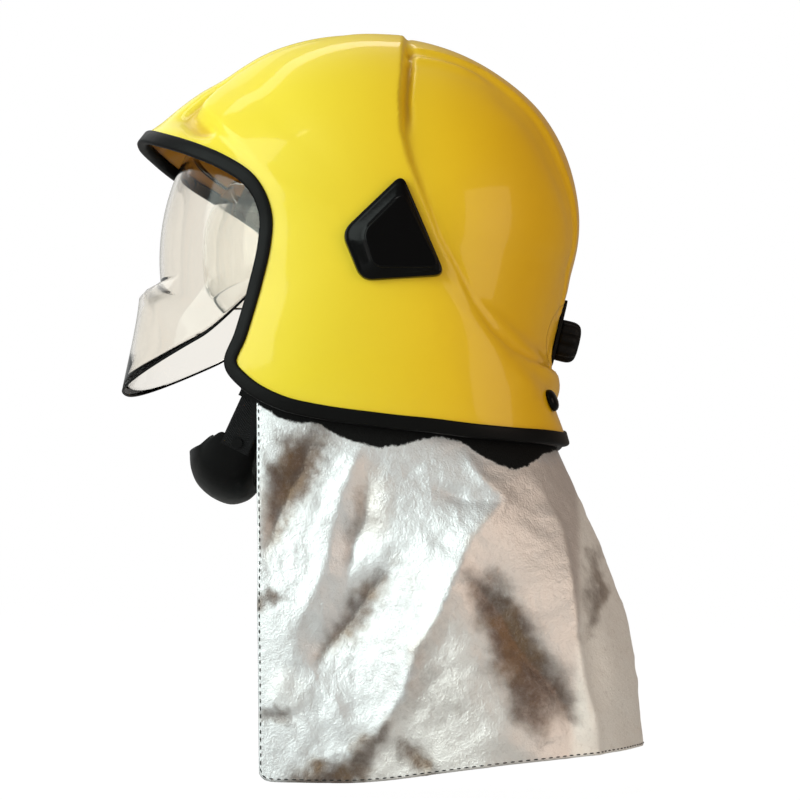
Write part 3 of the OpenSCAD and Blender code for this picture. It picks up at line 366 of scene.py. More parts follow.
def form_normal(p, h=1.5):
    """Outward normal of the plain form, measured over h mm each way."""
    parts = [gauge(p + h * e) - gauge(p - h * e) for e in np.eye(3)]
    return unit(np.stack(parts, -1))


def hump(distance, half):
    """A smooth rise, 1 high where the distance is nothing."""
    return np.exp(-((distance / half) ** 2))


def lobe_relief(x, y, z, turn):
    """Side lobes: a valley divides them from the crest and turns down before their front ends."""
    beyond = x - np.interp(turn, *shoulder_line.T)
    behind_brow = (y + 120 + 0.9 * (z - 84)) * 0.75
    inside = -valley_round * np.logaddexp(-beyond / valley_round, -behind_brow / valley_round)
    front = ease((-100 - y) / 14)
    valley = valley_depth + 2.2 * ease((-60 - y) / 40) + 1.4 * ease((-98 - y) / 16)
    valley = valley * ease((z - 71 + 7 * front) / 12) * ease((y + 148) / 10)
    above_edge = ease((z - np.interp(y, *brow_edge.T) - 2) / 20)
    lobe = lobe_rise * ease((inside + 2) / 9) * ease((z - 15) / 60) * above_edge
    return lobe - valley * hump(inside + 4 + 2 * front, valley_half + 2 * front)


def panel_relief(x, z, turn):
    """Rear panels: below the crest's crisp edge, with a shoulder near the top and a hollow."""
    beyond = x - np.interp(turn, *crest_line.T)
    fall = 1 - (1 - np.clip(beyond / 6, 0, 1)) ** 2
    shoulder = shoulder_rise * hump(beyond - 11, 4) * ease((122 - turn) / 12)
    hollow = hollow_depth * hump(beyond - 15, 8) * ease((turn - 118) / 10) * ease((185 - turn) / 25)
    return shoulder - hollow - panel_fall * (1 + ease((z + 30) / 90)) * fall


def relief(p):
    """Height of the moulded features over the plain form."""
    x, y, z = np.abs(p[..., 0]), p[..., 1], p[..., 2]
    turn = turn_of(y, z)
    lean = np.interp(z, ridge_line[:, 0], np.gradient(ridge_line[:, 1], ridge_line[:, 0]))
    back = (y - np.interp(z, *ridge_line.T)) / np.sqrt(1 + lean ** 2)
    # The step is crisp above and hardly there at the nape, with a recess behind its top.
    over = 1 - (1 - np.clip(back / (3 + 3 * ease((z - 60) / 30)), 0, 1)) ** 2
    recess = recess_depth * (ease((back + 0.5) / 6) - ease((back - 5.5) / 5))
    recess = recess * ease((z - 60) / 25) * ease((x - 54) / 16)
    crease = (crease_depth + 0.6 * ease((y - 78) / 12)) * hump(back - 2, 2.2)
    # The nape band ends at the step, and a low collar runs round the knob.
    band = band_rise * ease((1 - back) / 3) * ease((y - 76) / 16) * ease((z + 100) / 14)
    from_knob = np.linalg.norm(p - knob_seat, axis=-1)
    collar = ease((from_knob - 30.5) / 3) * (1 - ease((from_knob - 36) / 24))
    collar = collar_rise * collar * ease((y - 60) / 20)
    lobes, panels = lobe_relief(x, y, z, turn), panel_relief(x, z, turn)
    return lobes * (1 - over) + panels * over - recess - crease + band + collar


def form_point(d):
    """Point of the shell's outside in a direction from the centre."""
    p = centre + d * form_reach(d)[..., None]
    return p + form_normal(p) * relief(p)[..., None]


def curve_through(p0, p1, p2, p3, t):
    """Point of a smooth curve between its second and third points, which it passes through."""
    bend, swing = 2 * p0 - 5 * p1 + 4 * p2 - p3, 3 * p1 - p0 - 3 * p2 + p3
    return 0.5 * (2 * p1 + (p2 - p0) * t + bend * t ** 2 + swing * t ** 3)


def rounded_loop(half, steps):
    """Smooth closed loop through the points of the left half and their mirror images."""
    other = half[-2:0:-1] * [-1, 1, 1]
    c = np.concatenate([half, other])
    n = len(c)
    t = (np.arange(steps) / steps)[None, :, None]
    p0, p1, p2, p3 = (np.roll(c, k, 0)[:, None] for k in (1, 0, -1, -2))
    return curve_through(p0, p1, p2, p3, t).reshape(n * steps, 3)


def slerp(a, b, t):
    """Direction a share t of the way round from a to b."""
    w = np.arccos(np.clip((a * b).sum(-1, keepdims=True), -1, 1))
    return (a * np.sin((1 - t) * w) + b * np.sin(t * w)) / np.sin(w)


def solid(name, points, faces, slot=None):
    """Closed mesh from points in millimetres, with its faces turned outward."""
    points = np.asarray(points, float) * 0.001
    mesh = bpy.data.meshes.new(name)
    mesh.from_pydata(points.tolist(), [], [list(map(int, f)) for f in faces])
    mesh.validate()
    if mesh.polygons:
        mesh.calc_loop_triangles()
        corners = np.zeros(len(mesh.loop_triangles) * 3, np.int32)
        mesh.loop_triangles.foreach_get("vertices", corners)
        t = points[corners].reshape(-1, 3, 3)
        if np.einsum("ij,ij->", t[:, 0], np.cross(t[:, 1], t[:, 2])) < 0:
            mesh.flip_normals()
    mesh.polygons.foreach_set("use_smooth", [True] * len(mesh.polygons))
    thing = bpy.data.objects.new(name, mesh)
    bpy.context.scene.collection.objects.link(thing)
    return thing


def band_faces(first, rows, columns, closed=True, flip=False, joined=False):
    """Quads of a grid of rows that starts at index first; joined takes its last row to its first."""
    row_count, column_count = (rows if joined else rows - 1), (columns if closed else columns - 1)
    row, column = np.meshgrid(np.arange(row_count), np.arange(column_count), indexing="ij")
    here, below = first + row * columns, first + (row + 1) % rows * columns
    after = (column + 1) % columns
    quads = np.stack([here + column, here + after, below + after, below + column], -1).reshape(-1, 4)
    return quads[:, ::-1] if flip else quads


def tube_faces(rows, n):
    """Faces of a tube of closed rows, with a face over each end."""
    return band_faces(0, rows, n).tolist() + [list(range(n))[::-1], [(rows - 1) * n + i for i in range(n)]]


def keep_on_points(thing, **layers):
    """Stores values that the thing's finish reads; the back of a sheet repeats its front's."""
    for word, values in layers.items():
        layer = thing.data.attributes.new(word, "FLOAT", "POINT")
        layer.data.foreach_set("value", np.resize(values, len(layer.data)).astype(np.float32))


edge_loop = rounded_loop(edge_line, 15)
columns = len(edge_loop)
edge_points = form_point(unit(edge_loop - centre))
edge_normals = form_normal(edge_points)


def inward(reach):
    """Directions to the points that lie a distance in from the shell's edge."""
    along = np.roll(edge_points, -10, 0) - np.roll(edge_points, 10, 0)
    return unit(edge_points + unit(np.cross(edge_normals, along)) * reach - centre)


lip_reach = 7.0
swing_room = 5.1
sunk_from = 2.9
lip = inward(lip_reach)
outer_t = np.linspace(0.01, 0.985, 138)
outer_dirs = np.stack([inward(lip_reach * 0.5), lip] + [slerp(lip, pole, t) for t in outer_t])
outer_rows = np.concatenate([edge_points[None], form_point(outer_dirs)])
crown = form_point(pole[None])[0]
# The inner wall has fewer rows. Each of its points lies a wall below the lowest relief near
# it, but leaves the raised shields their room.
outer_relief = relief(centre + outer_dirs * form_reach(outer_dirs)[..., None])
lowest = outer_relief
for axis, reach in ((0, 9), (1, 5)):
    lowest = np.min([np.roll(lowest, k, axis) for k in range(-reach, reach + 1)], 0)
inner_t = np.linspace(0.06, 0.97, 15)
inner_dirs = np.stack([slerp(lip, pole, t) for t in inner_t])
inner_at = centre + inner_dirs * form_reach(inner_dirs)[..., None]
inner_depth = np.minimum(0, lowest[2 + np.searchsorted(outer_t, inner_t)]) - wall
ahead, aft = np.maximum(0, -60 - inner_at[..., 1]), np.maximum(0, inner_at[..., 1] + 40)
inner_depth = np.maximum(inner_depth, -(swing_room + 0.065 * ahead + 0.5 * aft))[..., None]
over_lip = np.stack([edge_points, form_point(lip)])
inner_rows = np.concatenate(
    [over_lip - form_normal(over_lip) * wall, inner_at + form_normal(inner_at) * inner_depth]
)
crown_in = crown - form_normal(crown[None])[0] * wall


def cap_form(outer, inner, top_out, top_in):
    """Points and faces of a closed cap; its two grids share their first row's columns."""
    n = outer.shape[1]
    a, b = outer.shape[0], inner.shape[0]
    points = np.concatenate([outer.reshape(-1, 3), [top_out], inner.reshape(-1, 3), [top_in]])
    start = a * n + 1
    ring = np.arange(n)
    after = (ring + 1) % n
    faces = band_faces(0, a, n, flip=True).tolist() + band_faces(start, b, n).tolist()
    last = (a - 1) * n
    faces += np.stack([last + after, last + ring, np.full(n, a * n)], -1).tolist()
    last = start + (b - 1) * n
    faces += np.stack([last + ring, last + after, np.full(n, start + b * n)], -1).tolist()
    faces += np.stack([ring, after, start + after, start + ring], -1).tolist()
    return points, faces


def cap(name, outer, inner, top_out, top_in, slot):
    """Closed cap from its two grids and the point that closes each at the top."""
    return solid(name, *cap_form(outer, inner, top_out, top_in), slot=slot)


shell = cap("shell_moulding", outer_rows, inner_rows, crown, crown_in, "shell_yellow")
outer_count = outer_rows[..., 0].size
# Points of the inner wall, where the finish paints shade.
within = np.arange(len(shell.data.vertices)) > outer_count
# Points of the outside that lie in the valleys, recesses and creases, where the finish paints shade.
sunk = np.zeros(len(within))
sunk[columns:outer_count] = ease((-outer_relief - sunk_from) / 3.0).ravel()
keep_on_points(shell, within=within, sunk=sunk)
lacquer = Finish(
    "yellow_lacquer",
    Base_Color=(0.88, 0.63, 0.008),
    Roughness=0.4,
    Coat_Weight=0.4,
    Coat_Roughness=0.06,
    Coat_IOR=1.45,
    Specular_IOR_Level=0.25,
)
x, y, z = (lacquer.node("ShaderNodeSeparateXYZ", {"Vector": lacquer.place()}, out=axis) for axis in "XYZ")
fore_tone = lacquer.mix(lacquer.noise(6, 2).step(0.3, 0.7), (0.87, 0.69, 0.03), (0.89, 0.72, 0.036))
# Painted shade: towards the rear the yellow is painted a darker orange, where the shell gets less light.
shaded_outside_tone = lacquer.mix(y.step(-0.08, 0.10), fore_tone, (0.89, 0.51, 0.005))
# Painted shade in the valleys, recesses and creases.
shaded_outside_tone = lacquer.mix(0.6 * lacquer.marked("sunk"), shaded_outside_tone, (0.60, 0.33, 0.004))
# Painted shade: the inner wall is painted a darker orange-brown, for its own shadow with the yellow light
# bouncing in it.
lacquer.set("Base Color", lacquer.mix(lacquer.marked("within"), shaded_outside_tone, (0.85, 0.36, 0.04)))
lacquer.set("Roughness", 0.36 + 0.1 * lacquer.noise(45, 4, 0.6))
oval = ((x / 0.050) ** 2.0 + ((z + 0.052) / 0.026) ** 2.0) ** 0.5
thumb_recess = (1 - oval.step(0.955, 1.0)) * y.step(0.05, 0.08)
lacquer.bump((thumb_recess, -0.0009), (lacquer.noise(160, 2), 0.00004), (lacquer.noise(900, 1), 0.000004))
lacquer.on(shell)
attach(shell, "helmet")
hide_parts("outer_shell")

# Edge trim: a black rubber channel pushed over the shell's whole edge. Its lip reaches
# 7 mm up both faces of the shell and its nose is rounded.
trim = 1.6
clear = 0.08
lip_round = 0.75
nose_reach = 1.35
# On the shell's edge and 7 mm up it: points outside and inside, and their normals.
at_edge, at_lip = outer_rows[0], outer_rows[2]
edge_in, lip_in = inner_rows[0], inner_rows[1]
edge_out, lip_out = form_normal(at_edge), form_normal(at_lip)
upward = unit(at_lip - at_edge)
middle = (at_edge + edge_in) / 2 - upward * clear
across = unit(at_edge - edge_in)
half = np.linalg.norm(at_edge - edge_in, axis=-1, keepdims=True) / 2 + clear
nose = []
for a in np.radians(np.linspace(90, -90, 9)):
    out, ahead = (half + trim) * math.sin(a), trim * nose_reach * math.cos(a) ** 0.8
    nose.append(middle + across * out - upward * ahead)
mid_out = (edge_out + lip_out) * 0.5 * (clear + trim)
section = [
    at_lip + lip_out * clear,
    at_lip + lip_out * (clear + trim * lip_round) - upward * 0.1,
    at_lip + lip_out * (clear + trim) - upward * 0.8,
    (at_lip + at_edge) / 2 + mid_out,
    *nose,
    (lip_in + edge_in) / 2 - mid_out,
    lip_in - lip_out * (clear + trim) - upward * 0.8,
    lip_in - lip_out * (clear + trim * lip_round) - upward * 0.1,
    lip_in - lip_out * clear,
    edge_in - edge_out * clear - upward * clear,
    at_edge + edge_out * clear - upward * clear,
]
faces = band_faces(0, len(section), columns, joined=True)
edge_rubber = solid("edge_rubber", np.stack(section).reshape(-1, 3), faces, slot="black_rubber")
rubber = Finish("black_rubber", Base_Color=(0.003, 0.003, 0.003), Roughness=0.42, Specular_IOR_Level=0.10)
rubber.set("Roughness", 0.36 + 0.16 * rubber.noise(120, 4, 0.7))
rubber.bump((rubber.noise(420, 3, 0.6), 0.00006))
rubber.on(edge_rubber)
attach(edge_rubber, "helmet")
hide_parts("edge_trim")

# Side covers: glossy black mouldings over the shield pivots, clipped on the shell. Each
# is a bevelled trapezoid with a raised flat face, hollow behind.
cover_base = np.array([[9, 39], [36, -25], [-16.5, -28.5], [-29, 2]], float)
cover_face = np.array([[9, 25], [31.5, -20.5], [-8.5, -20.5], [-15, 1]], float)
cover_rise = 9.0
cover_gap = 0.45
cover_skirt = 3.6
cover_wall = 2.4


def side_at(y, z):
    """Half width of the form beside a point of the middle plane."""
    p = np.interp(turn_of(y, z), profile_angle, profile_reach)
    q = np.hypot(y - centre[1], z) / p
    return half_width * (1 - q ** side_power) ** (1 / side_power)


def rounded(corners, r, steps=8, straight=7):
    """Closed outline with rounded corners, and points along its straight runs."""
    n = len(corners)
    loop = []
    for i in range(n):
        c = corners[i]
        p = c + r * unit(corners[i - 1] - c)
        q = c + r * unit(corners[(i + 1) % n] - c)
        d = corners[(i + 1) % n]
        e = d + r * unit(c - d)
        loop += [(1 - t) ** 2 * p + 2 * t * (1 - t) * c + t * t * q for t in np.linspace(0, 1, steps + 1)]
        loop += [q + (e - q) * t for t in np.linspace(0, 1, straight + 2)[1:-1]]
    return np.array(loop)


def shrunk(loop, by):
    """The loop moved inward by a distance, square to its own line."""
    along = unit(np.roll(loop, -1, 0) - np.roll(loop, 1, 0))
    normal = np.stack([-along[:, 1], along[:, 0]], -1)
    if ((loop.mean(0) - loop) * normal).sum() < 0:
        normal = -normal
    return loop + normal * by


def side_cover(name, side):
    """One cover: a skirt from the shell, a rolled edge, the bevel and the flat face."""
    base, face = rounded(cover_base, 8), rounded(cover_face, 6)
    seat_x = side_at(base[:, 0], base[:, 1]) + cover_gap
    shoulder = half_width + cover_skirt
    top = half_width + cover_rise

    def ring(loop, x):
        return np.stack([side * (x + np.zeros(len(loop))), loop[:, 0], loop[:, 1]], -1)

    rings = [ring(base, seat_x), ring(shrunk(base, 0.3), seat_x * 0.4 + shoulder * 0.6)]
    roll = np.radians(np.linspace(0, 90, 5))
    for a in roll:
        rings.append(ring(shrunk(base, 0.5 + 1.3 * (1 - math.cos(a))), shoulder + 0.9 * math.sin(a) - 0.3))
    bevel_foot, bevel_top = shrunk(base, 2.6), shrunk(face, -1.4)
    rings.append(ring(bevel_foot * 0.85 + bevel_top * 0.15, shoulder + 1.3))
    rings.append(ring(bevel_foot * 0.15 + bevel_top * 0.85, top - 1.3))
    for a in roll:
        rings.append(ring(shrunk(face, 0.6 - 1.2 * math.cos(a)), top - 0.9 + 0.9 * math.sin(a)))
    mid = face.mean(0)
    rings.append(ring(shrunk(face, 2.2), top))
    rings.append(ring(mid + (face - mid) * 0.5, top + 0.15))
    inner = [
        ring(shrunk(base, cover_wall), seat_x),
        ring(shrunk(base, 4.2), half_width + 2.2),
        ring(shrunk(face, 1.4), top - cover_wall),
    ]
    top_out, top_in = (np.array([side * x, *mid]) for x in (top + 0.15, top - cover_wall))
    return cap(name, np.stack(rings), np.stack(inner), top_out, top_in, "black_gloss")


gloss = Finish("black_gloss", Base_Color=(0.0015, 0.0015, 0.0016), Roughness=0.10, Specular_IOR_Level=0.11)
gloss.set("Roughness", 0.08 + 0.14 * gloss.noise(70, 4, 0.65))
gloss.bump((gloss.noise(220, 2), 0.00004))
for side, word in ((1, "left"), (-1, "right")):
    cover = side_cover(f"pivot_cover_{word}", side)
    gloss.on(cover)
    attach(cover, "helmet")
    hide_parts(f"side_cover_{word}")

# Nape studs: two glossy black domes that close holes low on the nape, each with a shank
# through the shell.
stud_at = np.array([62.0, 103.0, -97.0])
stud_turn = np.radians(np.arange(0, 360, 7.5))
# Radius and height of each ring.
stud_dome = [(7.2, 0.5), (7.4, 1.2), (7.3, 2.2), (6.9, 3.2), (6.1, 4.1), (4.9, 4.8), (3.2, 5.3), (1.4, 5.5)]
stud_shank = [(6.9, 0.3), (2.6, 0.3), (2.5, 0.0), (2.5, -wall + 0.2), (2.3, -wall)]
stud_top = 5.55
points, faces = [], []
for side in (1, -1):
    foot = form_point(unit(stud_at * [side, 1, 1] - centre))
    out = form_normal(foot)
    over = unit(np.cross([0, 0, 1], out))
    up = np.cross(out, over)

    def stud_row(r, h):
        return foot + out * h + (np.cos(stud_turn)[:, None] * over + np.sin(stud_turn)[:, None] * up) * r

    dome, shank = (np.stack([stud_row(r, h) for r, h in rings]) for rings in (stud_dome, stud_shank))
    stud_points, stud_faces = cap_form(dome, shank, foot + out * stud_top, foot - out * wall)
    faces += [[k + len(points) for k in face] for face in stud_faces]
    points += stud_points.tolist()
studs = solid("nape_stud_domes", points, faces, slot="black_gloss")
gloss.on(studs)
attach(studs, "helmet")
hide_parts("nape_studs")

# Face shield: a clear injection-moulded polycarbonate visor, 2.5 mm thick. Its upper part
# is a true arc about the pivots; below a ledge it flares forward. Two hinge plates are
# riveted to its ends and a black bead edges its lower line.
pivot_y = -2.0
shield_power = 2.6
face_flat, face_side, face_radius, face_wall, face_flare = 103.55, 105.95, 148.5, 2.5, 15.0
face_arm_end = 57
corner_sharpness = 1.6


def band_point(radius, half, flat, lean, turn):
    """Point of a shield at a turn about the pivots and a lean from the middle to its flat sides."""
    lean, turn = np.radians(lean), np.radians(turn)
    r = radius * np.cos(lean) ** (2 / shield_power)
    x = half * np.abs(np.sin(lean)) ** (2 / shield_power)
    x = -np.logaddexp(-x * corner_sharpness, -flat * corner_sharpness) / corner_sharpness
    return np.stack([np.sign(lean) * x, pivot_y - r * np.cos(turn), r * np.sin(turn)], -1)


def lean_at(r, radius):
    """Lean of the points that lie a distance r from the pivots' line."""
    return np.degrees(np.arccos((r / radius) ** (shield_power / 2)))


def reach_at(lean, radius):
    """Distance from the pivots' line at a lean."""
    return radius * np.cos(np.radians(lean)) ** (2 / shield_power)


def leans_to(end, count):
    """Leans from side to side, closer together near both ends."""
    quarter = 0.9 * math.pi / 2
    return end * np.sin(np.linspace(-1, 1, count) * quarter) / math.sin(quarter)


def face_front(turn, lean):
    """Reach of the shield: the ledge is sharp in front and softens towards the sides."""
    low = np.maximum(0, -7 - turn)
    ledge = 3.0 + 11 * ease((np.abs(lean) - 12) / 26)
    return face_radius + (face_flare - 1) * ease((-6.4 - turn) / ledge) + 0.45 * low + 0.055 * low ** 2


def face_limits(r):
    """Lowest and highest turn at a distance from the pivots: a narrow arm that widens forward."""
    arm = np.degrees(np.arcsin(np.minimum(1, 13 / r)))
    low = np.where(r < face_arm_end, -arm, -13.2 - 14 * ease((r - face_arm_end) / 44))
    high = np.where(r < face_arm_end, arm, 13.2 + 16.8 * ease((r - face_arm_end) / 50))
    return low, high


def face_row(k, lean, inset):
    """Row of the shield, from 0 at its lower edge to 1 at its upper one."""
    low, high = face_limits(reach_at(lean, face_radius))
    turn = low + (high - low) * k
    reach = face_front(turn, lean)
    reach = reach + (face_radius - reach) * ease((np.abs(lean) - 50) / 28)
    return band_point(reach - inset, face_side - inset, face_flat - inset, lean, turn)


def face_wall_at(k):
    """Wall of the shield: it thins towards the lower edge, where the bead sits."""
    return face_wall * (0.5 + 0.5 * ease(k / 0.1))


def sheet_solid(name, front, back, slot):
    """Closed sheet from a front and a back grid of points."""
    rows, n = front.shape[:2]
    half = rows * n
    points = np.concatenate([front.reshape(-1, 3), back.reshape(-1, 3)])
    faces = band_faces(0, rows, n, closed=False).tolist()
    faces += band_faces(half, rows, n, closed=False, flip=True).tolist()
    i = np.arange(n - 1)
    last = half - n
    faces += np.stack([i + 1, i, i + half, i + 1 + half], -1).tolist()
    faces += np.stack([last + i, last + i + 1, last + i + 1 + half, last + i + half], -1).tolist()
    j = np.arange(rows - 1) * n
    faces += np.stack([j, j + n, j + n + half, j + half], -1).tolist()
    j = j + n - 1
    faces += np.stack([j + n, j, j + half, j + n + half], -1).tolist()
    return solid(name, points, faces, slot=slot)


leans = leans_to(lean_at(24, face_radius), 181)
spans = (np.linspace(0, 0.33, 14), np.linspace(0.33, 0.5, 22), np.linspace(0.5, 1, 16))
heights = np.unique(np.concatenate(spans))[::-1]
visor = sheet_solid(
    "face_visor_lens",
    np.stack([face_row(k, leans, 0) for k in heights]),
    np.stack([face_row(k, leans, face_wall_at(k)) for k in heights]),
    "clear_visor",
)
clear_face = Finish(
    "smoky_polycarbonate",
    Base_Color=(0.905, 0.875, 0.815),
    Roughness=0.015,
    IOR=1.27,
    Transmission_Weight=1.0,
)
clear_face.set("Roughness", 0.01 + 0.03 * clear_face.noise(60, 4, 0.7).step(0.45, 0.9))
clear_face.on(visor)
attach(visor, "face_visor")
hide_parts("face_shield")


def oval_sweep(name, middle, across, along, half_across, half_along, slot, count=12):
    """Bead of an oval section along a line, with a face over each end."""
    n = len(middle)
    rings = []
    for k in range(count):
        a = 2 * math.pi * k / count
        rings.append(middle + across * half_across * math.cos(a) + along * half_along * math.sin(a))
    faces = band_faces(0, count, n, closed=False, joined=True).tolist()
    faces += [[k * n for k in range(count)][::-1], [k * n + n - 1 for k in range(count)]]
    return solid(name, np.stack(rings).reshape(-1, 3), faces, slot=slot)


bead_half_across, bead_half_along, bead_drop = 0.88, 0.8, 0.5
edge_leans = leans[np.abs(leans) < lean_at(62, face_radius)]
edge_front, edge_back = face_row(0, edge_leans, 0), face_row(0, edge_leans, face_wall_at(0))
low = np.radians(face_limits(reach_at(edge_leans, face_radius))[0])
down = np.stack([0 * low, -np.sin(low), -np.cos(low)], -1)
bead = oval_sweep(
    "face_visor_bead", (edge_front + edge_back) / 2 + down * bead_drop, unit(edge_front - edge_back), down,
    bead_half_across, bead_half_along, "black_rubber",
)
rubber.on(bead)
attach(bead, "face_visor")
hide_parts("face_shield_edge")

# Eye shield: a smaller clear goggle lens inside the face shield, 2 mm thick, on its own
# pair of hinge plates. It closes in at the top and tucks in at its lower edge.
eye_flat, eye_side, eye_radius, eye_wall = 94.95, 99.15, 120.0, 2.0
eye_arm_end = 55


def eye_row(k, lean, inset):
    """Row of the eye shield, from 0 at its lower edge to 1 at its upper one."""
    r = reach_at(lean, eye_radius)
    arm = np.degrees(np.arcsin(np.minimum(1, 11 / r)))
    widening = ease((r - eye_arm_end) / 40)
    high = np.where(r < eye_arm_end, arm, 11.5 + 14.5 * widening)
    low = np.where(r < eye_arm_end, -arm, -11.5 - 2.5 * widening)
    turn = low + (high - low) * k
    reach = eye_radius - 7 * ease((turn - 10) / 20) - 5 * ease((-9 - turn) / 6)
    return band_point(reach - inset, eye_side - inset, eye_flat - inset, lean, turn)


leans = leans_to(lean_at(22, eye_radius), 141)
heights = np.concatenate([np.linspace(1, 0.1, 20), np.linspace(0.08, 0, 5)])
goggle = sheet_solid(
    "eye_visor_lens",
    np.stack([eye_row(k, leans, 0) for k in heights]),
    np.stack([eye_row(k, leans, eye_wall) for k in heights]),
    "clear_visor",
)
clear_eye = Finish(
    "amber_polycarbonate",
    Base_Color=(0.965, 0.95, 0.915),
    Roughness=0.02,
    IOR=1.3,
    Transmission_Weight=1.0,
)
clear_eye.set("Roughness", 0.012 + 0.04 * clear_eye.noise(50, 4, 0.7).step(0.4, 0.9))
clear_eye.on(goggle)
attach(goggle, "eye_visor")
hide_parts("eye_shield")

# Hinge plates, headband, brackets, ratchet and buckle: stiff black nylon mouldings, with
# plain steel screws, rivets, snaps and strap tabs. The buckle's release button is red.
nylon = Finish("black_nylon", Base_Color=(0.0025, 0.0025, 0.0027), Roughness=0.5, Specular_IOR_Level=0.15)
nylon.set("Roughness", 0.42 + 0.2 * nylon.noise(150, 3, 0.6))
nylon.bump((nylon.noise(1400, 2, 0.7), 0.00005), (nylon.noise(90, 2), 0.00005))
steel = Finish("bright_steel", Base_Color=(0.56, 0.55, 0.53), Metallic=1.0, Roughness=0.28)
steel.set("Roughness", 0.2 + 0.2 * steel.noise(1.0, 4, 0.6, at=steel.stretched((1500, 1500, 90))))
for word in (
    "pivot_bushes", "outer_spacers", "inner_spacers", "face_arm_left", "face_arm_right", "eye_arm_left",
    "eye_arm_right", "headband", "side_bracket_left", "side_bracket_right", "rack_left", "rack_right",
    "ratchet_housing", "knob_plate", "curtain_rail", "buckle_body", "buckle_tongue", "strap_keeper",
    "cup_rivets",
):
    nylon.on(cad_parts[word])
for word in (
    "pivot_screws", "face_rivet_set", "eye_rivet_set", "cradle_rivets", "bracket_screws", "pinion",
    "curtain_snaps", "strap_tab_left", "strap_tab_right",
):
    steel.on(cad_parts[word])
red = Finish("red_button", Base_Color=(0.55, 0.02, 0.015), Roughness=0.3)
red.set("Roughness", 0.25 + 0.15 * red.noise(200, 3, 0.6))
red.bump((red.noise(900, 2), 0.00003))
red.on(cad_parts["buckle_button"])

# Neck curtain: one piece of aluminised cloth that hangs from the snaps inside the shell's
# edge and flares outward. Its folds, the painted shade in its creases and its painted brown
# reflections are drawn as lines on the left side; the right side has them a little lower and further on.
cloth = 1.3
hung_from = 3.6
curtain_drop = 216.0
rim_level = -116.0
hem_lift = 18.0
flare_ahead, flare_aft = 4.0, 48.0
wave_height = 4.5
corner_round = 5.0
cloth_width = 700
# The cloth hangs under the shell's columns from this one to its mirror image.
first_column = 170
columns_over = 352
rows_down = 134
# Rows above the edge, as shares of the way from the lip up to the rail.
rows_above = (0.62, 0.35, 0.1)
folds = [
    # line from start to end, height, reach to its left and to its right, looking along it
    ([(70, -163), (49.6, -187), (40.4, -208), (29, -233), (17, -253), (8.6, -280), (-4, -302), (-20, -317)],
     8.5, 15, 26),
    ([(47.6, -130), (54, -145), (70, -163)], 4.0, 9, 5),
    ([(55.8, -216), (70, -233), (84.5, -257), (103, -278), (113, -300)], -6.5, 13, 15),
    ([(103, -169), (108, -187), (111, -216), (113, -241), (117, -270), (124, -296), (128, -330)],
     5.0, 5, 13),
    ([(0.4, -208), (-12, -222), (-26, -241), (-43, -259)], -5.0, 11, 12),
    ([(-12, -150), (-14, -175), (-22, -192), (-24, -208)], -4.0, 9, 10),
    ([(-45, -118), (-53, -142), (-67, -169), (-80, -200)], -5.0, 13, 12),
    ([(-14, -125), (-30, -165), (-38, -205), (-55, -240)], 3.5, 12, 12),
    ([(-78, -296), (-56, -295)], -2.0, 4, 4),
    ([(33, -156), (50, -163), (70, -163)], -3.0, 7, 6),
    ([(12, -312), (26, -326)], -3.0, 8, 8),
    ([(-60, -250), (-30, -290), (-15, -325)], 2.5, 16, 16),
]
shade_marks = [
    # line, reach, how far towards the dark brown of the painted shade and painted reflections
    ([(50, -205), (60, -218), (70, -233), (84.5, -257), (103, -278), (112, -296)], 14, 0.95),
    ([(62, -236), (76, -266), (86, -288), (92, -306)], 13, 0.85),
    ([(34, -180), (12, -240), (-8, -300)], 24, 0.36),
    ([(22, -262), (46, -305)], 20, 0.34),
    ([(4, -203), (-12, -222), (-26, -241), (-46, -262)], 10, 0.8),
    ([(-10, -150), (-13, -175), (-22, -192), (-26, -203)], 9, 0.55),
    ([(-42, -112), (-52, -138), (-63, -160), (-76, -192)], 14, 0.9),
    ([(-50, -132), (-62, -140), (-72, -146)], 13, 0.9),
    ([(-70, -334), (-45, -332), (-18, -324), (0, -302)], 9, 0.9),
    ([(8, -312), (30, -330)], 9, 0.8),
    ([(133, -190), (131, -220), (124, -246)], 9, 0.7),
    ([(-80, -225), (-64, -223)], 5, 0.8),
    ([(-79, -296), (-56, -294)], 4, 0.7),
    ([(112, -332), (150, -336)], 7, 0.5),
]
warm_marks = [
    # line, reach, how far towards the warm tone of the painted warm shade
    ([(-16, -134), (-6, -160), (-8, -190)], 14, 0.8),
    ([(-78, -150), (-76, -205)], 9, 0.7),
    ([(-68, -262), (-52, -300)], 16, 0.45),
]
ridge_start = (52, -118)
right_onward, right_lower = 9, 14
# Y, and how far the painted shadow and reflection of the black trim reach below the edge there.
trim_shade_scallops = np.array(
    [
        [-90, 5], [-62, 8], [-43, 5], [-30, 11], [-8, 15], [8, 12], [20, 7], [34, 4], [45, 5], [57, 12],
        [70, 18], [80, 20], [88, 17], [100, 8], [110, 4], [140, 4],
    ],
    float,
)


def beside(line, y, z):
    """Distance to a drawn line, the side of it, and 1 at its middle down to 0 at its ends."""
    nearest = np.full(y.shape, 1e6)
    side = np.zeros(y.shape)
    spread = np.zeros(y.shape)
    pieces = len(line) - 1
    for k, ((y0, z0), (y1, z1)) in enumerate(zip(line, line[1:])):
        dy, dz = y1 - y0, z1 - z0
        t = np.clip(((y - y0) * dy + (z - z0) * dz) / (dy * dy + dz * dz), 0, 1)
        away = np.hypot(y - y0 - t * dy, z - z0 - t * dz)
        turn = dy * (z - z0) - dz * (y - y0)
        side = np.where(away < nearest, turn / (np.abs(turn) + 6), side)
        spread = np.where(away < nearest, np.sin(math.pi * (k + t) / pieces) ** 0.6, spread)
        nearest = np.minimum(nearest, away)
    return nearest, side, spread


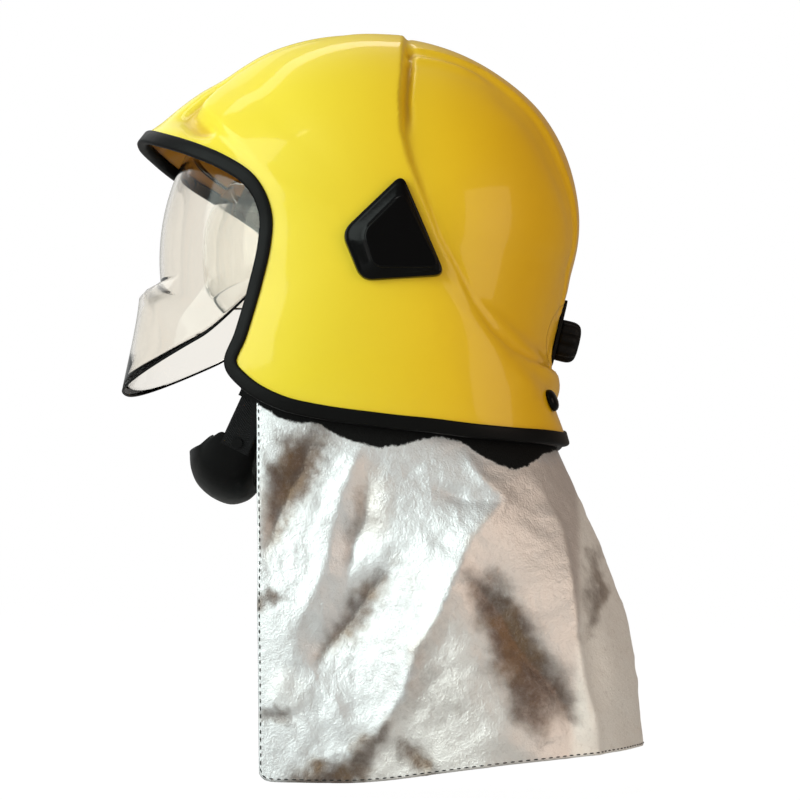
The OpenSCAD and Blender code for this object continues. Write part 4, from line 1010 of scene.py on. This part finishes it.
def fold_height(y, z):
    """Height of all the folds: each is crisp along its line and soft beside it."""
    crisp = 2.0
    total = np.zeros(y.shape)
    for line, height, left, right in folds:
        away, side, spread = beside(line, y, z)
        reach = (left + right) / 2 + (left - right) / 2 * side
        fade = np.exp(-1.5 * (np.sqrt(away ** 2 + crisp ** 2) - crisp) / reach)
        total += height * fade * (0.4 + 0.6 * spread)
    return total


def shade_at(y, z, marks):
    """How strong the marks are together, from 0 to 1."""
    rest = np.ones(y.shape)
    for line, reach, amount in marks:
        away, side, spread = beside(line, y, z)
        rest *= 1 - amount * hump(away, reach * (0.55 + 0.55 * spread)) * (0.5 + 0.5 * spread)
    return 1 - rest


def soft_noise(shape, cells, seed):
    """Smooth seeded noise on a grid, from -1 to 1, with the given number of cells each way."""
    rng = np.random.default_rng(seed)
    grid = rng.uniform(-1, 1, (cells[0] + 3, cells[1] + 3))
    v = np.linspace(0, cells[0], shape[0], endpoint=False)[:, None]
    u = np.linspace(0, cells[1], shape[1], endpoint=False)[None]
    j, i = v.astype(int), u.astype(int)
    b, a = ease(v - j), ease(u - i)
    return (
        grid[j, i] * (1 - a) * (1 - b) + grid[j, i + 1] * a * (1 - b)
        + grid[j + 1, i] * (1 - a) * b + grid[j + 1, i + 1] * a * b
    )


rail_line = form_point(slerp(lip, pole, inner_t[0]))
rail_line = rail_line - form_normal(rail_line) * wall
sewn = np.arange(first_column, columns - first_column + 1)
rim = edge_in[sewn]


def along_cloth(values):
    """Values at points of the rim, at the cloth's evenly spaced columns instead."""
    at = np.concatenate([[0], np.cumsum(np.linalg.norm(np.diff(rim, axis=0), axis=-1))])
    to = np.linspace(0, at[-1], columns_over)
    return np.stack([np.interp(to, at, values[:, k]) for k in range(values.shape[1])], -1)


def smoothed(values, reach):
    """Each column's values as the mean of those within a reach of it."""
    window = np.ones(2 * reach + 1) / (2 * reach + 1)
    return np.stack([np.convolve(np.pad(v, reach, "edge"), window, "valid") for v in values.T], -1)


rim_at, lip_at, rail_at = along_cloth(rim), along_cloth(lip_in[sewn]), along_cloth(rail_line[sewn])
rim_out = unit(along_cloth(edge_normals[sewn]))
lip_facing = unit(along_cloth(form_normal(form_point(lip))[sewn]))
level_out = unit(smoothed(rim_out * [1, 1, 0], 11))
top = rim_at - rim_out * hung_from
back = ease((rim_at[:, 1] + 30) / 140)
cloth_rows = [lip_at + (rail_at - lip_at) * t - lip_facing * hung_from for t in rows_above]
for v in np.linspace(0, 1, rows_down) ** 1.05:
    drop = v * (top[:, 2] - rim_level + curtain_drop - hem_lift * back) + 3
    flare = (flare_ahead + flare_aft * back) * math.sin(math.radians(90 * v))
    ahead = -4 * v * ease((-rim_at[:, 1] - 30) / 40)
    cloth_rows.append(top + level_out * flare[:, None] - np.stack([0 * drop, ahead, drop], -1))
cloth_rows = np.stack(cloth_rows)
hung = cloth_rows[len(rows_above):]
y, z = hung[..., 1], hung[..., 2]
right = ease((25 - hung[..., 0]) / 50)
at_side = ease((np.abs(level_out[:, 0]) - 0.12) / 0.35)
below = rim_at[:, 2] - z
# The drawn folds on both sides, waves over the nape and finer crumples everywhere.
bend = fold_height(y, z) * (1 - right) + fold_height(y + right_onward, z + right_lower) * right
nape_waves = wave_height * np.sin(hung[..., 0] / 15 + 0.8 + z / 90) * ease((below - 20) / 120)
bend = bend * at_side + nape_waves * (1 - at_side)
for height, cells, seed in ((1.1, (9, 26), 4), (0.5, (24, 60), 5), (0.2, (56, 150), 6)):
    bend += height * soft_noise(y.shape, cells, seed)
# They die out under the edge, and are calmer beside the sewn front edges.
from_front = np.minimum(np.arange(columns_over), np.arange(columns_over)[::-1])
bend = bend * ease((below - 4) / 26) * (0.35 + 0.65 * ease(from_front / 9))
hung = hung + level_out * bend[..., None]
# The hem's two front corners are rounded.
column_width = cloth_width / (columns_over - 1)
corner_lift = corner_round * np.exp(-from_front * column_width / 4)
hung[..., 2] += corner_lift * ease((below - 150) / 60)
cloth_rows[len(rows_above):] = hung


def wander(seed):
    """How far the marks' edges stray from their lines."""
    return 5 * soft_noise(y.shape, (14, 40), seed) + 2.5 * soft_noise(y.shape, (50, 130), seed + 1)


wander_y, wander_z = y + wander(11), z + wander(13)


def both(rule):
    """What a rule of the left side gives for the whole cloth, moved on the right side."""
    moved = rule(wander_y + right_onward, wander_z + right_lower)
    return rule(wander_y, wander_z) * (1 - right) + moved * right


def past_ridge(y, z):
    """1 behind the longest fold, where the cloth faces the rear."""
    away, side, spread = beside([ridge_start] + folds[0][0], y, z)
    return ease(0.5 + side * ease(away / 5) * 0.7) * ease((-128 - z) / 20)


shade = both(lambda y, z: shade_at(y, z, shade_marks))
# Painted shade: the cloth that faces the rear, behind the longest fold, and the warm marks get a warm grey.
warm = np.maximum(both(past_ridge), both(lambda y, z: shade_at(y, z, warm_marks)))
# Painted light: the cloth's back part, past the nape, is painted lighter.
behind = ease((y - 112 - (z + 260) * 0.08) / 7)
# Painted shadow and reflection of the black trim below the edge; the rows inside the shell lie in shade and
# are painted black all over.
dark = ease((np.interp(y, *trim_shade_scallops.T) - below) / 6 + 0.5)
shade, warm, behind = (np.concatenate([v[:1]] * len(rows_above) + [v]) for v in (shade, warm, behind))
dark = np.concatenate([np.ones((len(rows_above), columns_over)), dark])


def grid_normals(rows):
    """Normals of a grid of points, away from its middle."""
    down = np.gradient(rows, axis=0)
    over = np.gradient(rows, axis=1)
    n = unit(np.cross(down, over))
    out = rows - rows.mean((0, 1))
    return n if (n * out * [1, 1, 0]).sum() > 0 else -n


facing = grid_normals(cloth_rows)
curtain = sheet_solid("neck_cloth", cloth_rows, cloth_rows - facing * cloth, "silver_cloth")
keep_on_points(curtain, shade=shade, warm=warm, behind=behind, dark=dark)
silver = Finish("aluminised_cloth", Metallic=0.88, Roughness=0.36, Specular_IOR_Level=0.15)
speckle = silver.noise(900, 2, 0.7)
fleck = silver.noise(330, 3, 0.7, warp=0.6)
mottle = silver.noise(150, 4, 0.75) - 0.5
soft_mark = (silver.marked("shade") + 0.5 * mottle).step(0.1, 1.0)
warm_mark = (silver.marked("warm") + 0.3 * mottle).step(0.15, 0.85)
# The warm grey of the painted shade, and the lighter tone painted at the back.
rear_tone = silver.mix(silver.marked("behind"), (0.80, 0.765, 0.745), (0.97, 0.97, 0.94))
# Painted warm shade where the cloth faces the rear.
tone = silver.mix(warm_mark, (0.76, 0.765, 0.78), rear_tone)
# Painted shade and painted brown reflections along the shade marks.
brown = silver.mix(silver.noise(45, 2).step(0.45, 0.65), (0.15, 0.11, 0.09), (0.19, 0.125, 0.08))
tone = silver.mix(soft_mark, tone, brown)
tone = silver.mix(0.3 * fleck.step(0.5, 0.8), tone, (0.42, 0.38, 0.36))
# Painted shadow and reflection of the black trim: a near-black, dull cloth with a ragged edge.
trim_shade_edge = (silver.marked("dark") + 1.5 * (silver.noise(130, 5, 0.85) - 0.5)).step(0.35, 0.7)
silver.set("Base Color", silver.mix(trim_shade_edge, tone, (0.004, 0.004, 0.004)))
silver.set("Metallic", 0.88 - 0.86 * trim_shade_edge - 0.4 * silver.marked("behind"))
silver.set("Roughness", 0.45 + 0.16 * speckle + 0.3 * trim_shade_edge)
silver.bump(
    (silver.noise(60, 2, 0.5, warp=0.6), 0.0005),
    (silver.noise(300, 2, 0.6, warp=0.5), 0.0003),
    (silver.noise(800, 2, 0.6), 0.0003),
)
silver.on(curtain)
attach(curtain, "helmet")
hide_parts("neck_curtain")

# Stitches of the curtain's turned edge: one run of black thread, 2 mm in from the front
# edges and the hem, with a stitch every 4.7 mm.
pitch, stitch_long, stitch_thick = 0.0047, 0.0028, 0.0008


def sewn_run(grid):
    """Down one front edge of the cloth, along the hem and up the other edge."""
    return np.concatenate([grid[5:-1, 1], grid[-2, 2:-2], grid[-2:4:-1, -2]])


thread_line = sewn_run(cloth_rows) + sewn_run(facing) * 0.12
thread = bpy.data.curves.new("thread_line", "CURVE")
thread.dimensions = "3D"
run = thread.splines.new("POLY")
run.points.add(len(thread_line) - 1)
run.points.foreach_set("co", np.c_[thread_line * 0.001, np.ones(len(thread_line))].ravel())
thread_path = bpy.data.objects.new("thread_path", thread)
bpy.context.scene.collection.objects.link(thread_path)
thread_black = Finish("black_thread", Base_Color=(0.01, 0.01, 0.01), Roughness=0.75)
thread_black.set("Roughness", 0.65 + 0.2 * thread_black.noise(2500, 2))
thread_black.bump((thread_black.noise(3000, 2, 0.7), 0.00004))


def tree_with(name, inputs):
    """A geometry tree with named inputs; returns the tree and its group input node."""
    made = bpy.data.node_groups.new(name, "GeometryNodeTree")
    made.interface.new_socket("Geometry", in_out="INPUT", socket_type="NodeSocketGeometry")
    for word, (kind, value) in inputs.items():
        socket = made.interface.new_socket(word, in_out="INPUT", socket_type=kind)
        socket.default_value = value
    made.interface.new_socket("Geometry", in_out="OUTPUT", socket_type="NodeSocketGeometry")
    return made, made.nodes.new("NodeGroupInput")


def made_by(thing, group, name, settings, body):
    """Runs a geometry tree on a thing and keeps the result as a plain mesh."""
    modifier = thing.modifiers.new("made", "NODES")
    modifier.node_group = group
    words = {s.name: s.identifier for s in group.interface.items_tree if s.in_out == "INPUT"}
    for word, value in settings.items():
        modifier[words[word]] = value
    seen = thing.evaluated_get(bpy.context.evaluated_depsgraph_get())
    mesh = bpy.data.meshes.new_from_object(seen)
    bpy.data.objects.remove(thing)
    made = bpy.data.objects.new(name, mesh)
    bpy.context.scene.collection.objects.link(made)
    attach(made, body)
    return made


def tree_node(kind, sockets, **settings):
    """Adds a node to the stitches' tree; a socket takes a value or another node's output."""
    made = stitching.nodes.new(kind)
    for word, value in settings.items():
        setattr(made, word, value)
    for word, value in sockets.items():
        if isinstance(value, bpy.types.NodeSocket):
            stitching.links.new(value, made.inputs[word])
        else:
            made.inputs[word].default_value = value
    return made.outputs


sizes = {"Pitch": pitch, "Length": stitch_long, "Thickness": stitch_thick}
stitching, given = tree_with("stitches", {word: ("NodeSocketFloat", size) for word, size in sizes.items()})
given = given.outputs
spots = tree_node(
    "GeometryNodeResampleCurve", {"Curve": given["Geometry"], "Length": given["Pitch"]}, mode="LENGTH"
)
stitch = tree_node("GeometryNodeMeshUVSphere", {"Segments": 8, "Rings": 6, "Radius": 0.5})
form = tree_node(
    "ShaderNodeCombineXYZ", {"X": given["Thickness"], "Y": given["Thickness"], "Z": given["Length"]}
)
tangent = tree_node("GeometryNodeInputTangent", {})
turned = tree_node("FunctionNodeAlignRotationToVector", {"Vector": tangent[0]}, axis="Z")
placed = tree_node(
    "GeometryNodeInstanceOnPoints",
    {"Points": spots["Curve"], "Instance": stitch["Mesh"], "Rotation": turned["Rotation"], "Scale": form[0]},
)
whole = tree_node("GeometryNodeRealizeInstances", {0: placed[0]})
coated = tree_node("GeometryNodeSetMaterial", {"Geometry": whole[0], "Material": thread_black.material})
tree_node("NodeGroupOutput", {0: coated[0]})
stitches = made_by(thread_path, stitching, "curtain_stitches", sizes, "helmet")

# Diagonals of the cloth's cells, both ways.
falling, rising = cloth_rows[1:, 1:] - cloth_rows[:-1, :-1], cloth_rows[1:, :-1] - cloth_rows[:-1, 1:]

# Impact liner: a moulded cap of dark expanded foam, glued inside the shell. It is cut away
# round the shield pivots and over the brow, where the shields swing up under the shell.
liner_edge = np.array(
    [
        [0, -60, 125], [45, -54, 108], [74, -34, 74], [88, -8, 46], [98, 18, 26], [105, 31, 0],
        [100, 42, -24], [84, 64, -32], [60, 89, -28], [30, 106, -24], [0, 111, -22],
    ],
    float,
)
head_room = np.array([87.0, 110.0, 120.0])
head_power = 2.8
half_ahead, half_aft = 92.0, 110.7
gap_ahead, gap_aft = 17.0, 7.3


def liner_reach(d):
    """Distance from the centre to the liner's outside, narrower ahead, where the shields swing."""
    a = turn_of(d[..., 1] + centre[1], d[..., 2])
    half = half_ahead + (half_aft - half_ahead) * ease((a - 75) / 40)
    gap = gap_ahead + (gap_aft - gap_ahead) * ease((a - 80) / 35)
    r = np.hypot(d[..., 1], d[..., 2])
    p = np.interp(a, profile_angle, profile_reach) - gap
    return ((np.abs(d[..., 0]) / half) ** side_power + (r / p) ** side_power) ** (-1 / side_power)


def liner_at(d):
    """Point of the liner's outside."""
    return centre + d * liner_reach(d)[..., None]


def room_at(d):
    """Point of the liner's inside, a squarish bowl."""
    reach = ((np.abs(d) / head_room) ** head_power).sum(-1) ** (-1 / head_power)
    return centre + d * reach[..., None]


brim = unit(rounded_loop(liner_edge, 12) - centre)
liner_dirs = np.stack([brim] + [slerp(brim, pole, t) for t in np.linspace(0.03, 0.97, 30)])
foam = cap(
    "impact_foam", liner_at(liner_dirs), room_at(liner_dirs), liner_at(pole), room_at(pole), "liner_foam"
)
beads = Finish("dark_bead_foam", Base_Color=(0.03, 0.03, 0.032), Roughness=0.85)
cells = beads.node("ShaderNodeTexVoronoi", {"Vector": beads.place(), "Scale": 330.0}, out="Distance")
beads.set("Base Color", beads.mix(cells, (0.042, 0.042, 0.045), (0.02, 0.02, 0.022)))
beads.set("Roughness", 0.78 + 0.15 * cells)
beads.bump((1 - cells, 0.0003))
beads.on(foam)
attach(foam, "helmet")
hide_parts("impact_liner")

# Cradle: three polyester webbing straps that arch over the room inside the liner, each
# riveted to the tilted headband at both ends.
band_half = np.array([80.0, 106.0])
band_wall = 1.6
band_height = 22.0
band_tilt = math.radians(-24)
strap_out = band_wall + 1.5


def tilted(p):
    """From the headband's own plane to the helmet's."""
    p = np.asarray(p, float)
    c, s = math.cos(band_tilt), math.sin(band_tilt)
    return np.stack([p[..., 0], p[..., 1] * c - p[..., 2] * s, p[..., 1] * s + p[..., 2] * c], -1)


def band_at(t, out):
    """Point of the headband's plan at a turn from the brow, squarer behind the ears."""
    power = 3 if abs(t) > 90 else 2
    s, c = math.sin(math.radians(t)), math.cos(math.radians(t))
    return np.array([
        math.copysign(1, s) * (band_half[0] + out) * abs(s) ** (2 / power),
        -math.copysign(1, c) * (band_half[1] + out) * abs(c) ** (2 / power),
    ])


def ribbon(name, middle, side, normal, width, thick, slot):
    """Webbing swept through stations, with thick rounded edges and its weave's own UV map."""
    offsets = np.array([-0.5, -0.47, -0.40, -0.2, 0, 0.2, 0.40, 0.47, 0.5])
    swell = np.array([0.25, 0.46, 0.5, 0.5, 0.5, 0.5, 0.5, 0.46, 0.25])
    ring = [(o, h) for o, h in zip(offsets, swell)] + [(o, -h) for o, h in zip(offsets[::-1], swell[::-1])]
    n = len(ring)
    points = np.stack([middle + side * (o * width) + normal * (h * thick) for o, h in ring], 1)
    rows = len(points)
    made = solid(name, points.reshape(-1, 3), tube_faces(rows, n), slot=slot)
    run = np.concatenate([[0], np.cumsum(np.linalg.norm(np.diff(middle, axis=0), axis=-1))])
    uv = made.data.uv_layers.new(name="weave")
    corner = np.zeros(len(made.data.loops), np.int32)
    made.data.loops.foreach_get("vertex_index", corner)
    u = np.array([o for o, h in ring])[corner % n] * width
    uv.data.foreach_set("uv", np.stack([u, run[corner // n]], -1).astype(np.float32).ravel())
    return made


def woven(name, colour, dark, rib_pitch=1.3):
    """Twill webbing: ribs across the strap that lean both ways from its middle."""
    made = Finish(name, Base_Color=colour, Roughness=0.7, Specular_IOR_Level=0.25)
    yarn_pitch = 0.9
    weave = made.node("ShaderNodeUVMap", uv_map="weave")
    over, along = (made.node("ShaderNodeSeparateXYZ", {"Vector": weave}, out=axis) for axis in "XY")
    lean = over.maths("ABSOLUTE", over)
    rib = ((along + 0.6 * lean) * (2 * math.pi / rib_pitch)).sine() * 0.5 + 0.5
    yarn = (over * (2 * math.pi / yarn_pitch)).sine() * 0.5 + 0.5
    made.set("Base Color", made.mix(rib * (0.6 + 0.4 * yarn), dark, colour))
    made.set("Roughness", 0.62 + 0.2 * made.noise(700, 2))
    made.bump((rib, 0.00022), (yarn, 0.00010), (made.noise(2200, 2), 0.00003))
    return made


cradle_width, cradle_thick = 18.0, 1.4
rivet_height, tail_end = 12.0, -7.0
cradle_grey = woven("cradle_webbing", (0.16, 0.165, 0.17), (0.05, 0.052, 0.055))
# Turns of the strap's two rivets, height of its arch, and how far its sides lean with it.
for name, start, stop, crown_height, fall in (
    ("cradle_strap_cross", 102, -102, 103.5, 0.3),
    ("cradle_strap_left", 38, -134, 110.0, 0.0),
    ("cradle_strap_right", -38, 134, 113.8, 0.0),
):
    a, b = band_at(start, strap_out), band_at(stop, strap_out)
    over = unit(np.array([a[1] - b[1], b[0] - a[0]]))
    middle, sides, normals = [], [], []
    # The arch runs from 0 to 180; below and above these, the tails hang beside the band.
    for k in [-10, -5] + list(range(0, 181, 3)) + [185, 190]:
        t = math.radians(min(180, max(0, k)))
        tail = max(0, -k, k - 180) / 10
        height = rivet_height + (crown_height - rivet_height) * math.sin(t)
        if tail:
            height = rivet_height + (tail_end - rivet_height) * tail
        m = a + (b - a) * (1 - math.cos(t)) / 2
        near = start if k < 90 else stop
        e = unit(band_at(near + 3, strap_out) - band_at(near - 3, strap_out))
        e = -e if e @ over < 0 else e
        g = unit(e + (over - e) * ease(math.sin(t) * 1.4))
        side = unit(np.array([g[0], g[1], -fall * g[1] * math.sin(t)]))
        go = unit(np.array([*((b - a) * math.sin(t) / 2), crown_height * math.cos(t)]))
        middle.append([m[0], m[1], height])
        sides.append(side)
        normals.append(unit(np.cross(go, side)))
    strap = ribbon(
        name + "_webbing", tilted(middle), tilted(sides), tilted(normals), cradle_width, cradle_thick,
        "cradle_webbing",
    )
    cradle_grey.on(strap)
    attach(strap, "helmet")
    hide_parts(name)

# Brow pad and nape pad: soft foam in a knitted cover, stuck inside the headband and on the
# ratchet housing. Each is blown up a little as cloth from a slightly smaller form.
voxel_size = 0.003
swell_pressure = 3.0
swell_limit = 0.0007
swell_steps = 15


def plumped(name, sections, body):
    """Closes the sections into a form, remeshes it, lets it swell and smooths it once."""
    rows, n = sections.shape[:2]
    raw = solid("raw_form", sections.reshape(-1, 3), tube_faces(rows, n))
    even = raw.modifiers.new("even", "REMESH")
    even.mode = "VOXEL"
    even.voxel_size = voxel_size
    mesh = bpy.data.meshes.new_from_object(raw.evaluated_get(bpy.context.evaluated_depsgraph_get()))
    bpy.data.objects.remove(raw)
    pad = bpy.data.objects.new(name, mesh)
    bpy.context.scene.collection.objects.link(pad)
    rest = np.array([v.co for v in mesh.vertices])
    puff = pad.modifiers.new("puff", "CLOTH")
    puff.settings.use_pressure = True
    puff.settings.uniform_pressure_force = swell_pressure
    puff.settings.effector_weights.gravity = 0
    puff.settings.quality = 6
    for step in range(1, swell_steps + 1):
        bpy.context.scene.frame_set(step)
    seen = pad.evaluated_get(bpy.context.evaluated_depsgraph_get()).to_mesh()
    moved = np.array([v.co for v in seen.vertices]) - rest
    far = np.linalg.norm(moved, axis=-1, keepdims=True)
    kept = swell_limit * np.tanh(far / swell_limit) / np.maximum(far, 1e-9)
    rest = rest + moved * np.minimum(1, kept)
    pad.modifiers.remove(puff)
    bpy.context.scene.frame_set(1)
    mesh.vertices.foreach_set("co", rest.ravel())
    smooth = pad.modifiers.new("smooth", "SUBSURF")
    smooth.levels = smooth.render_levels = 1
    final = bpy.data.meshes.new_from_object(pad.evaluated_get(bpy.context.evaluated_depsgraph_get()))
    pad.modifiers.clear()
    pad.data = final
    final.polygons.foreach_set("use_smooth", [True] * len(final.polygons))
    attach(pad, body)
    return pad


knit = Finish("pad_knit", Base_Color=(0.09, 0.05, 0.03), Roughness=0.9)
dots = knit.node("ShaderNodeTexVoronoi", {"Vector": knit.place(), "Scale": 620.0}, out="Distance")
knit.set("Base Color", knit.mix(dots, (0.11, 0.062, 0.036), (0.045, 0.024, 0.014)))
knit.set("Roughness", 0.85 + 0.1 * dots)
knit.bump((1 - dots, 0.0003), (knit.noise(90, 3), 0.0006))
pad_thick = 6.0
pad_gap = 0.5
pad_margin = 1.6
brow = []
for t in np.arange(-65, 66, 5.0):
    f = ease((66 - abs(t)) / 10)
    h = (band_height / 2 - pad_margin) * (0.6 + 0.4 * f)
    w = 0.8 + (pad_thick - 1.8) * f
    shape = [(0, -1), (0.7, -1), (1, -0.6), (1, 0.6), (0.7, 1), (0, 1)]
    brow.append([[*band_at(t, -pad_gap - w * depth), h * level] for depth, level in shape])
brow_pad = plumped("brow_cushion", tilted(brow), "helmet")
knit.on(brow_pad)
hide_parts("brow_pad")

knob_lean = math.radians(13.5)
knob_axis = np.array([0, math.cos(knob_lean), -math.sin(knob_lean)])
knob_up = np.array([0, math.sin(knob_lean), math.cos(knob_lean)])
rack_depth = -22.0
housing_wall = 5.0
nape_half_width, nape_half_height, nape_thick = 29.5, 12.4, 5.2


def at_knob(p):
    """From the knob's own frame, Z out of the shell and Y down, to the helmet's."""
    p = np.asarray(p, float)
    return knob_seat + p[..., :1] * [1, 0, 0] + p[..., 1:2] * -knob_up + p[..., 2:] * knob_axis


nape = []
for x in np.linspace(-nape_half_width, nape_half_width, 13):
    f = math.sqrt(max(0.05, 1 - (x / 31) ** 4))
    h, w = nape_half_height * (0.75 + 0.25 * f), nape_thick * f
    shape = [(-1, 0.5), (-0.6, 1), (0.6, 1), (1, 0.5), (1, 0), (-1, 0)]
    nape.append([[x, h * level, rack_depth - housing_wall - pad_gap - w * depth] for level, depth in shape])
nape_pad = plumped("nape_cushion", at_knob(nape), "helmet")
knit.on(nape_pad)
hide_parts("nape_pad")

# Adjusting knob: a black nylon grip with eight soft lobes and a rounded face, on its own
# shaft. It stands on the plate behind the shell and turns the pinion of the two racks.
lobe_turn = np.radians(np.arange(0, 360, 2.5))


def knob_ring(radius, height, hollow=0.0):
    """Ring of the grip: hollows of this depth lie between its eight lobes."""
    r = radius - hollow * (0.5 + 0.5 * np.cos(8 * lobe_turn - math.pi)) ** 1.5
    return np.stack([r * np.cos(lobe_turn), r * np.sin(lobe_turn), height + 0 * r], -1)


# Radius, height and depth of the hollows of each ring.
grip_outside = [
    (13.0, 2.3, 1.3), (13.8, 2.9, 1.6), (14.0, 4.2, 1.8), (14.0, 6.5, 2.0), (14.0, 8.8, 2.1),
    (13.9, 10.8, 2.1), (13.5, 12.6, 2.0), (12.8, 14.0, 1.8), (11.7, 15.2, 1.4), (10.2, 16.0, 0.9),
    (8.2, 16.4, 0.4), (5.0, 16.6, 0.0), (2.0, 16.65, 0.0),
]
grip_beneath = [
    (12.6, 2.3, 1.3), (6.0, 2.3), (3.1, 2.3), (3.0, 2.0), (3.0, -19.6), (2.9, -19.8), (2.0, -19.8),
    (2.0, -23.8), (1.8, -24.0),
]
outside, beneath = (np.stack([knob_ring(*ring) for ring in rings]) for rings in (grip_outside, grip_beneath))
grip_top, shaft_end = (at_knob([0, 0, rings[-1][1]]) for rings in (grip_outside, grip_beneath))
grip = cap("knob_grip", at_knob(outside), at_knob(beneath), grip_top, shaft_end, "dark_plastic")
nylon.on(grip)
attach(grip, "knob")
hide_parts("ratchet_knob")

# Chin strap: 20 mm black webbing from the two strap posts to the cup, with a release buckle
# on the right. Each end is riveted through the cup's wall.
strap_top = np.array([85.0, -31.0, 12.0])
strap_foot = np.array([45.1, -98.0, -128.0])
strap_run = float(np.linalg.norm(strap_foot - strap_top))
strap_up = unit(strap_top - strap_foot)
strap_outward = unit(np.array([1.0, 0, 0]) - strap_up[0] * strap_up)
strap_wide = np.cross(strap_up, strap_outward)
chin_width, chin_thick = 20.0, 1.6
chin_black = woven("chin_webbing", (0.008, 0.008, 0.009), (0.002, 0.002, 0.0025), 1.5)
for name, side, start, stop in (
    ("webbing_left", 1, 11.0, strap_run),
    ("webbing_right_upper", -1, 11.0, 70.0),
    ("webbing_right_lower", -1, 98.0, strap_run),
):
    stations = np.linspace(start, stop, max(4, int((stop - start) / 3)))[:, None]
    middle = strap_top - strap_up * stations + strap_outward * (0.05 + chin_thick / 2)
    mirror = np.array([side, 1, 1])
    sides, normals = (np.tile(v * mirror, (len(stations), 1)) for v in (strap_wide, strap_outward))
    strap = ribbon(name + "_weave", middle * mirror, sides, normals, chin_width, chin_thick, "black_webbing")
    chin_black.on(strap)
    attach(strap, "chin_strap")
    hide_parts(name)

# Chin cup: a supple black moulding with an open front and a turned lip, riveted between the
# two straps.
cup_wall = 2.6
cup_half = 45.0
cup_line = np.array(
    [[-130, -128], [-129, -139], [-124.5, -149.5], [-115, -158], [-103, -162.5], [-92, -160], [-85, -154]],
    float,
)
cup_inside = np.array([-104.0, -140.0])
ear_height = 14.0


def smooth_line(line, n):
    """A curve through the points, its ends run straight on."""
    c = np.concatenate([[2 * line[0] - line[1]], line, [2 * line[-1] - line[-2]]])
    at = np.linspace(0, len(line) - 1, n)
    k = np.minimum(at.astype(int), len(line) - 2)
    t = (at - k)[:, None]
    return curve_through(c[k], c[k + 1], c[k + 2], c[k + 3], t)


def cup_grid(inset):
    """The cup's middle line, swept to both sides, with an ear under each strap."""
    a = np.radians(np.linspace(-84, 84, 71))
    rise = (1 - np.cos(a)) ** 1.1
    ear = ease((np.abs(a) - 1.05) / 0.38)
    mirror = np.stack([np.sign(a), 0 * a + 1, 0 * a + 1], -1)
    rows = []
    for k, (y, z) in enumerate(smooth_line(cup_line, 31)):
        inward_y, inward_z = unit(cup_inside - [y, z]) * inset
        side_y, side_z = -99 + (y + 105) * 0.5, -126 + (z + 145) * 0.25
        row = np.stack([
            (cup_half - inset) * np.sin(a),
            y + (side_y - y) * rise + inward_y * np.cos(a),
            z + (side_z - z) * rise + inward_z * np.cos(a),
        ], -1)
        ear_rise = ear_height * (0.3 + 0.7 * ease(k / 10)) * ear[:, None]
        rows.append(row + ear_rise * strap_up * mirror)
    return np.stack(rows)


cup = sheet_solid("chin_cup_moulding", cup_grid(0), cup_grid(cup_wall), "dark_plastic")
supple = Finish("supple_black", Base_Color=(0.0015, 0.0015, 0.0017), Roughness=0.38, Specular_IOR_Level=0.13)
supple.set("Roughness", 0.3 + 0.22 * supple.noise(90, 4, 0.7))
supple.bump((supple.noise(700, 2, 0.6), 0.00008), (supple.noise(60, 2), 0.0003))
supple.on(cup)
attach(cup, "chin_strap")
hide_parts("chin_cup")
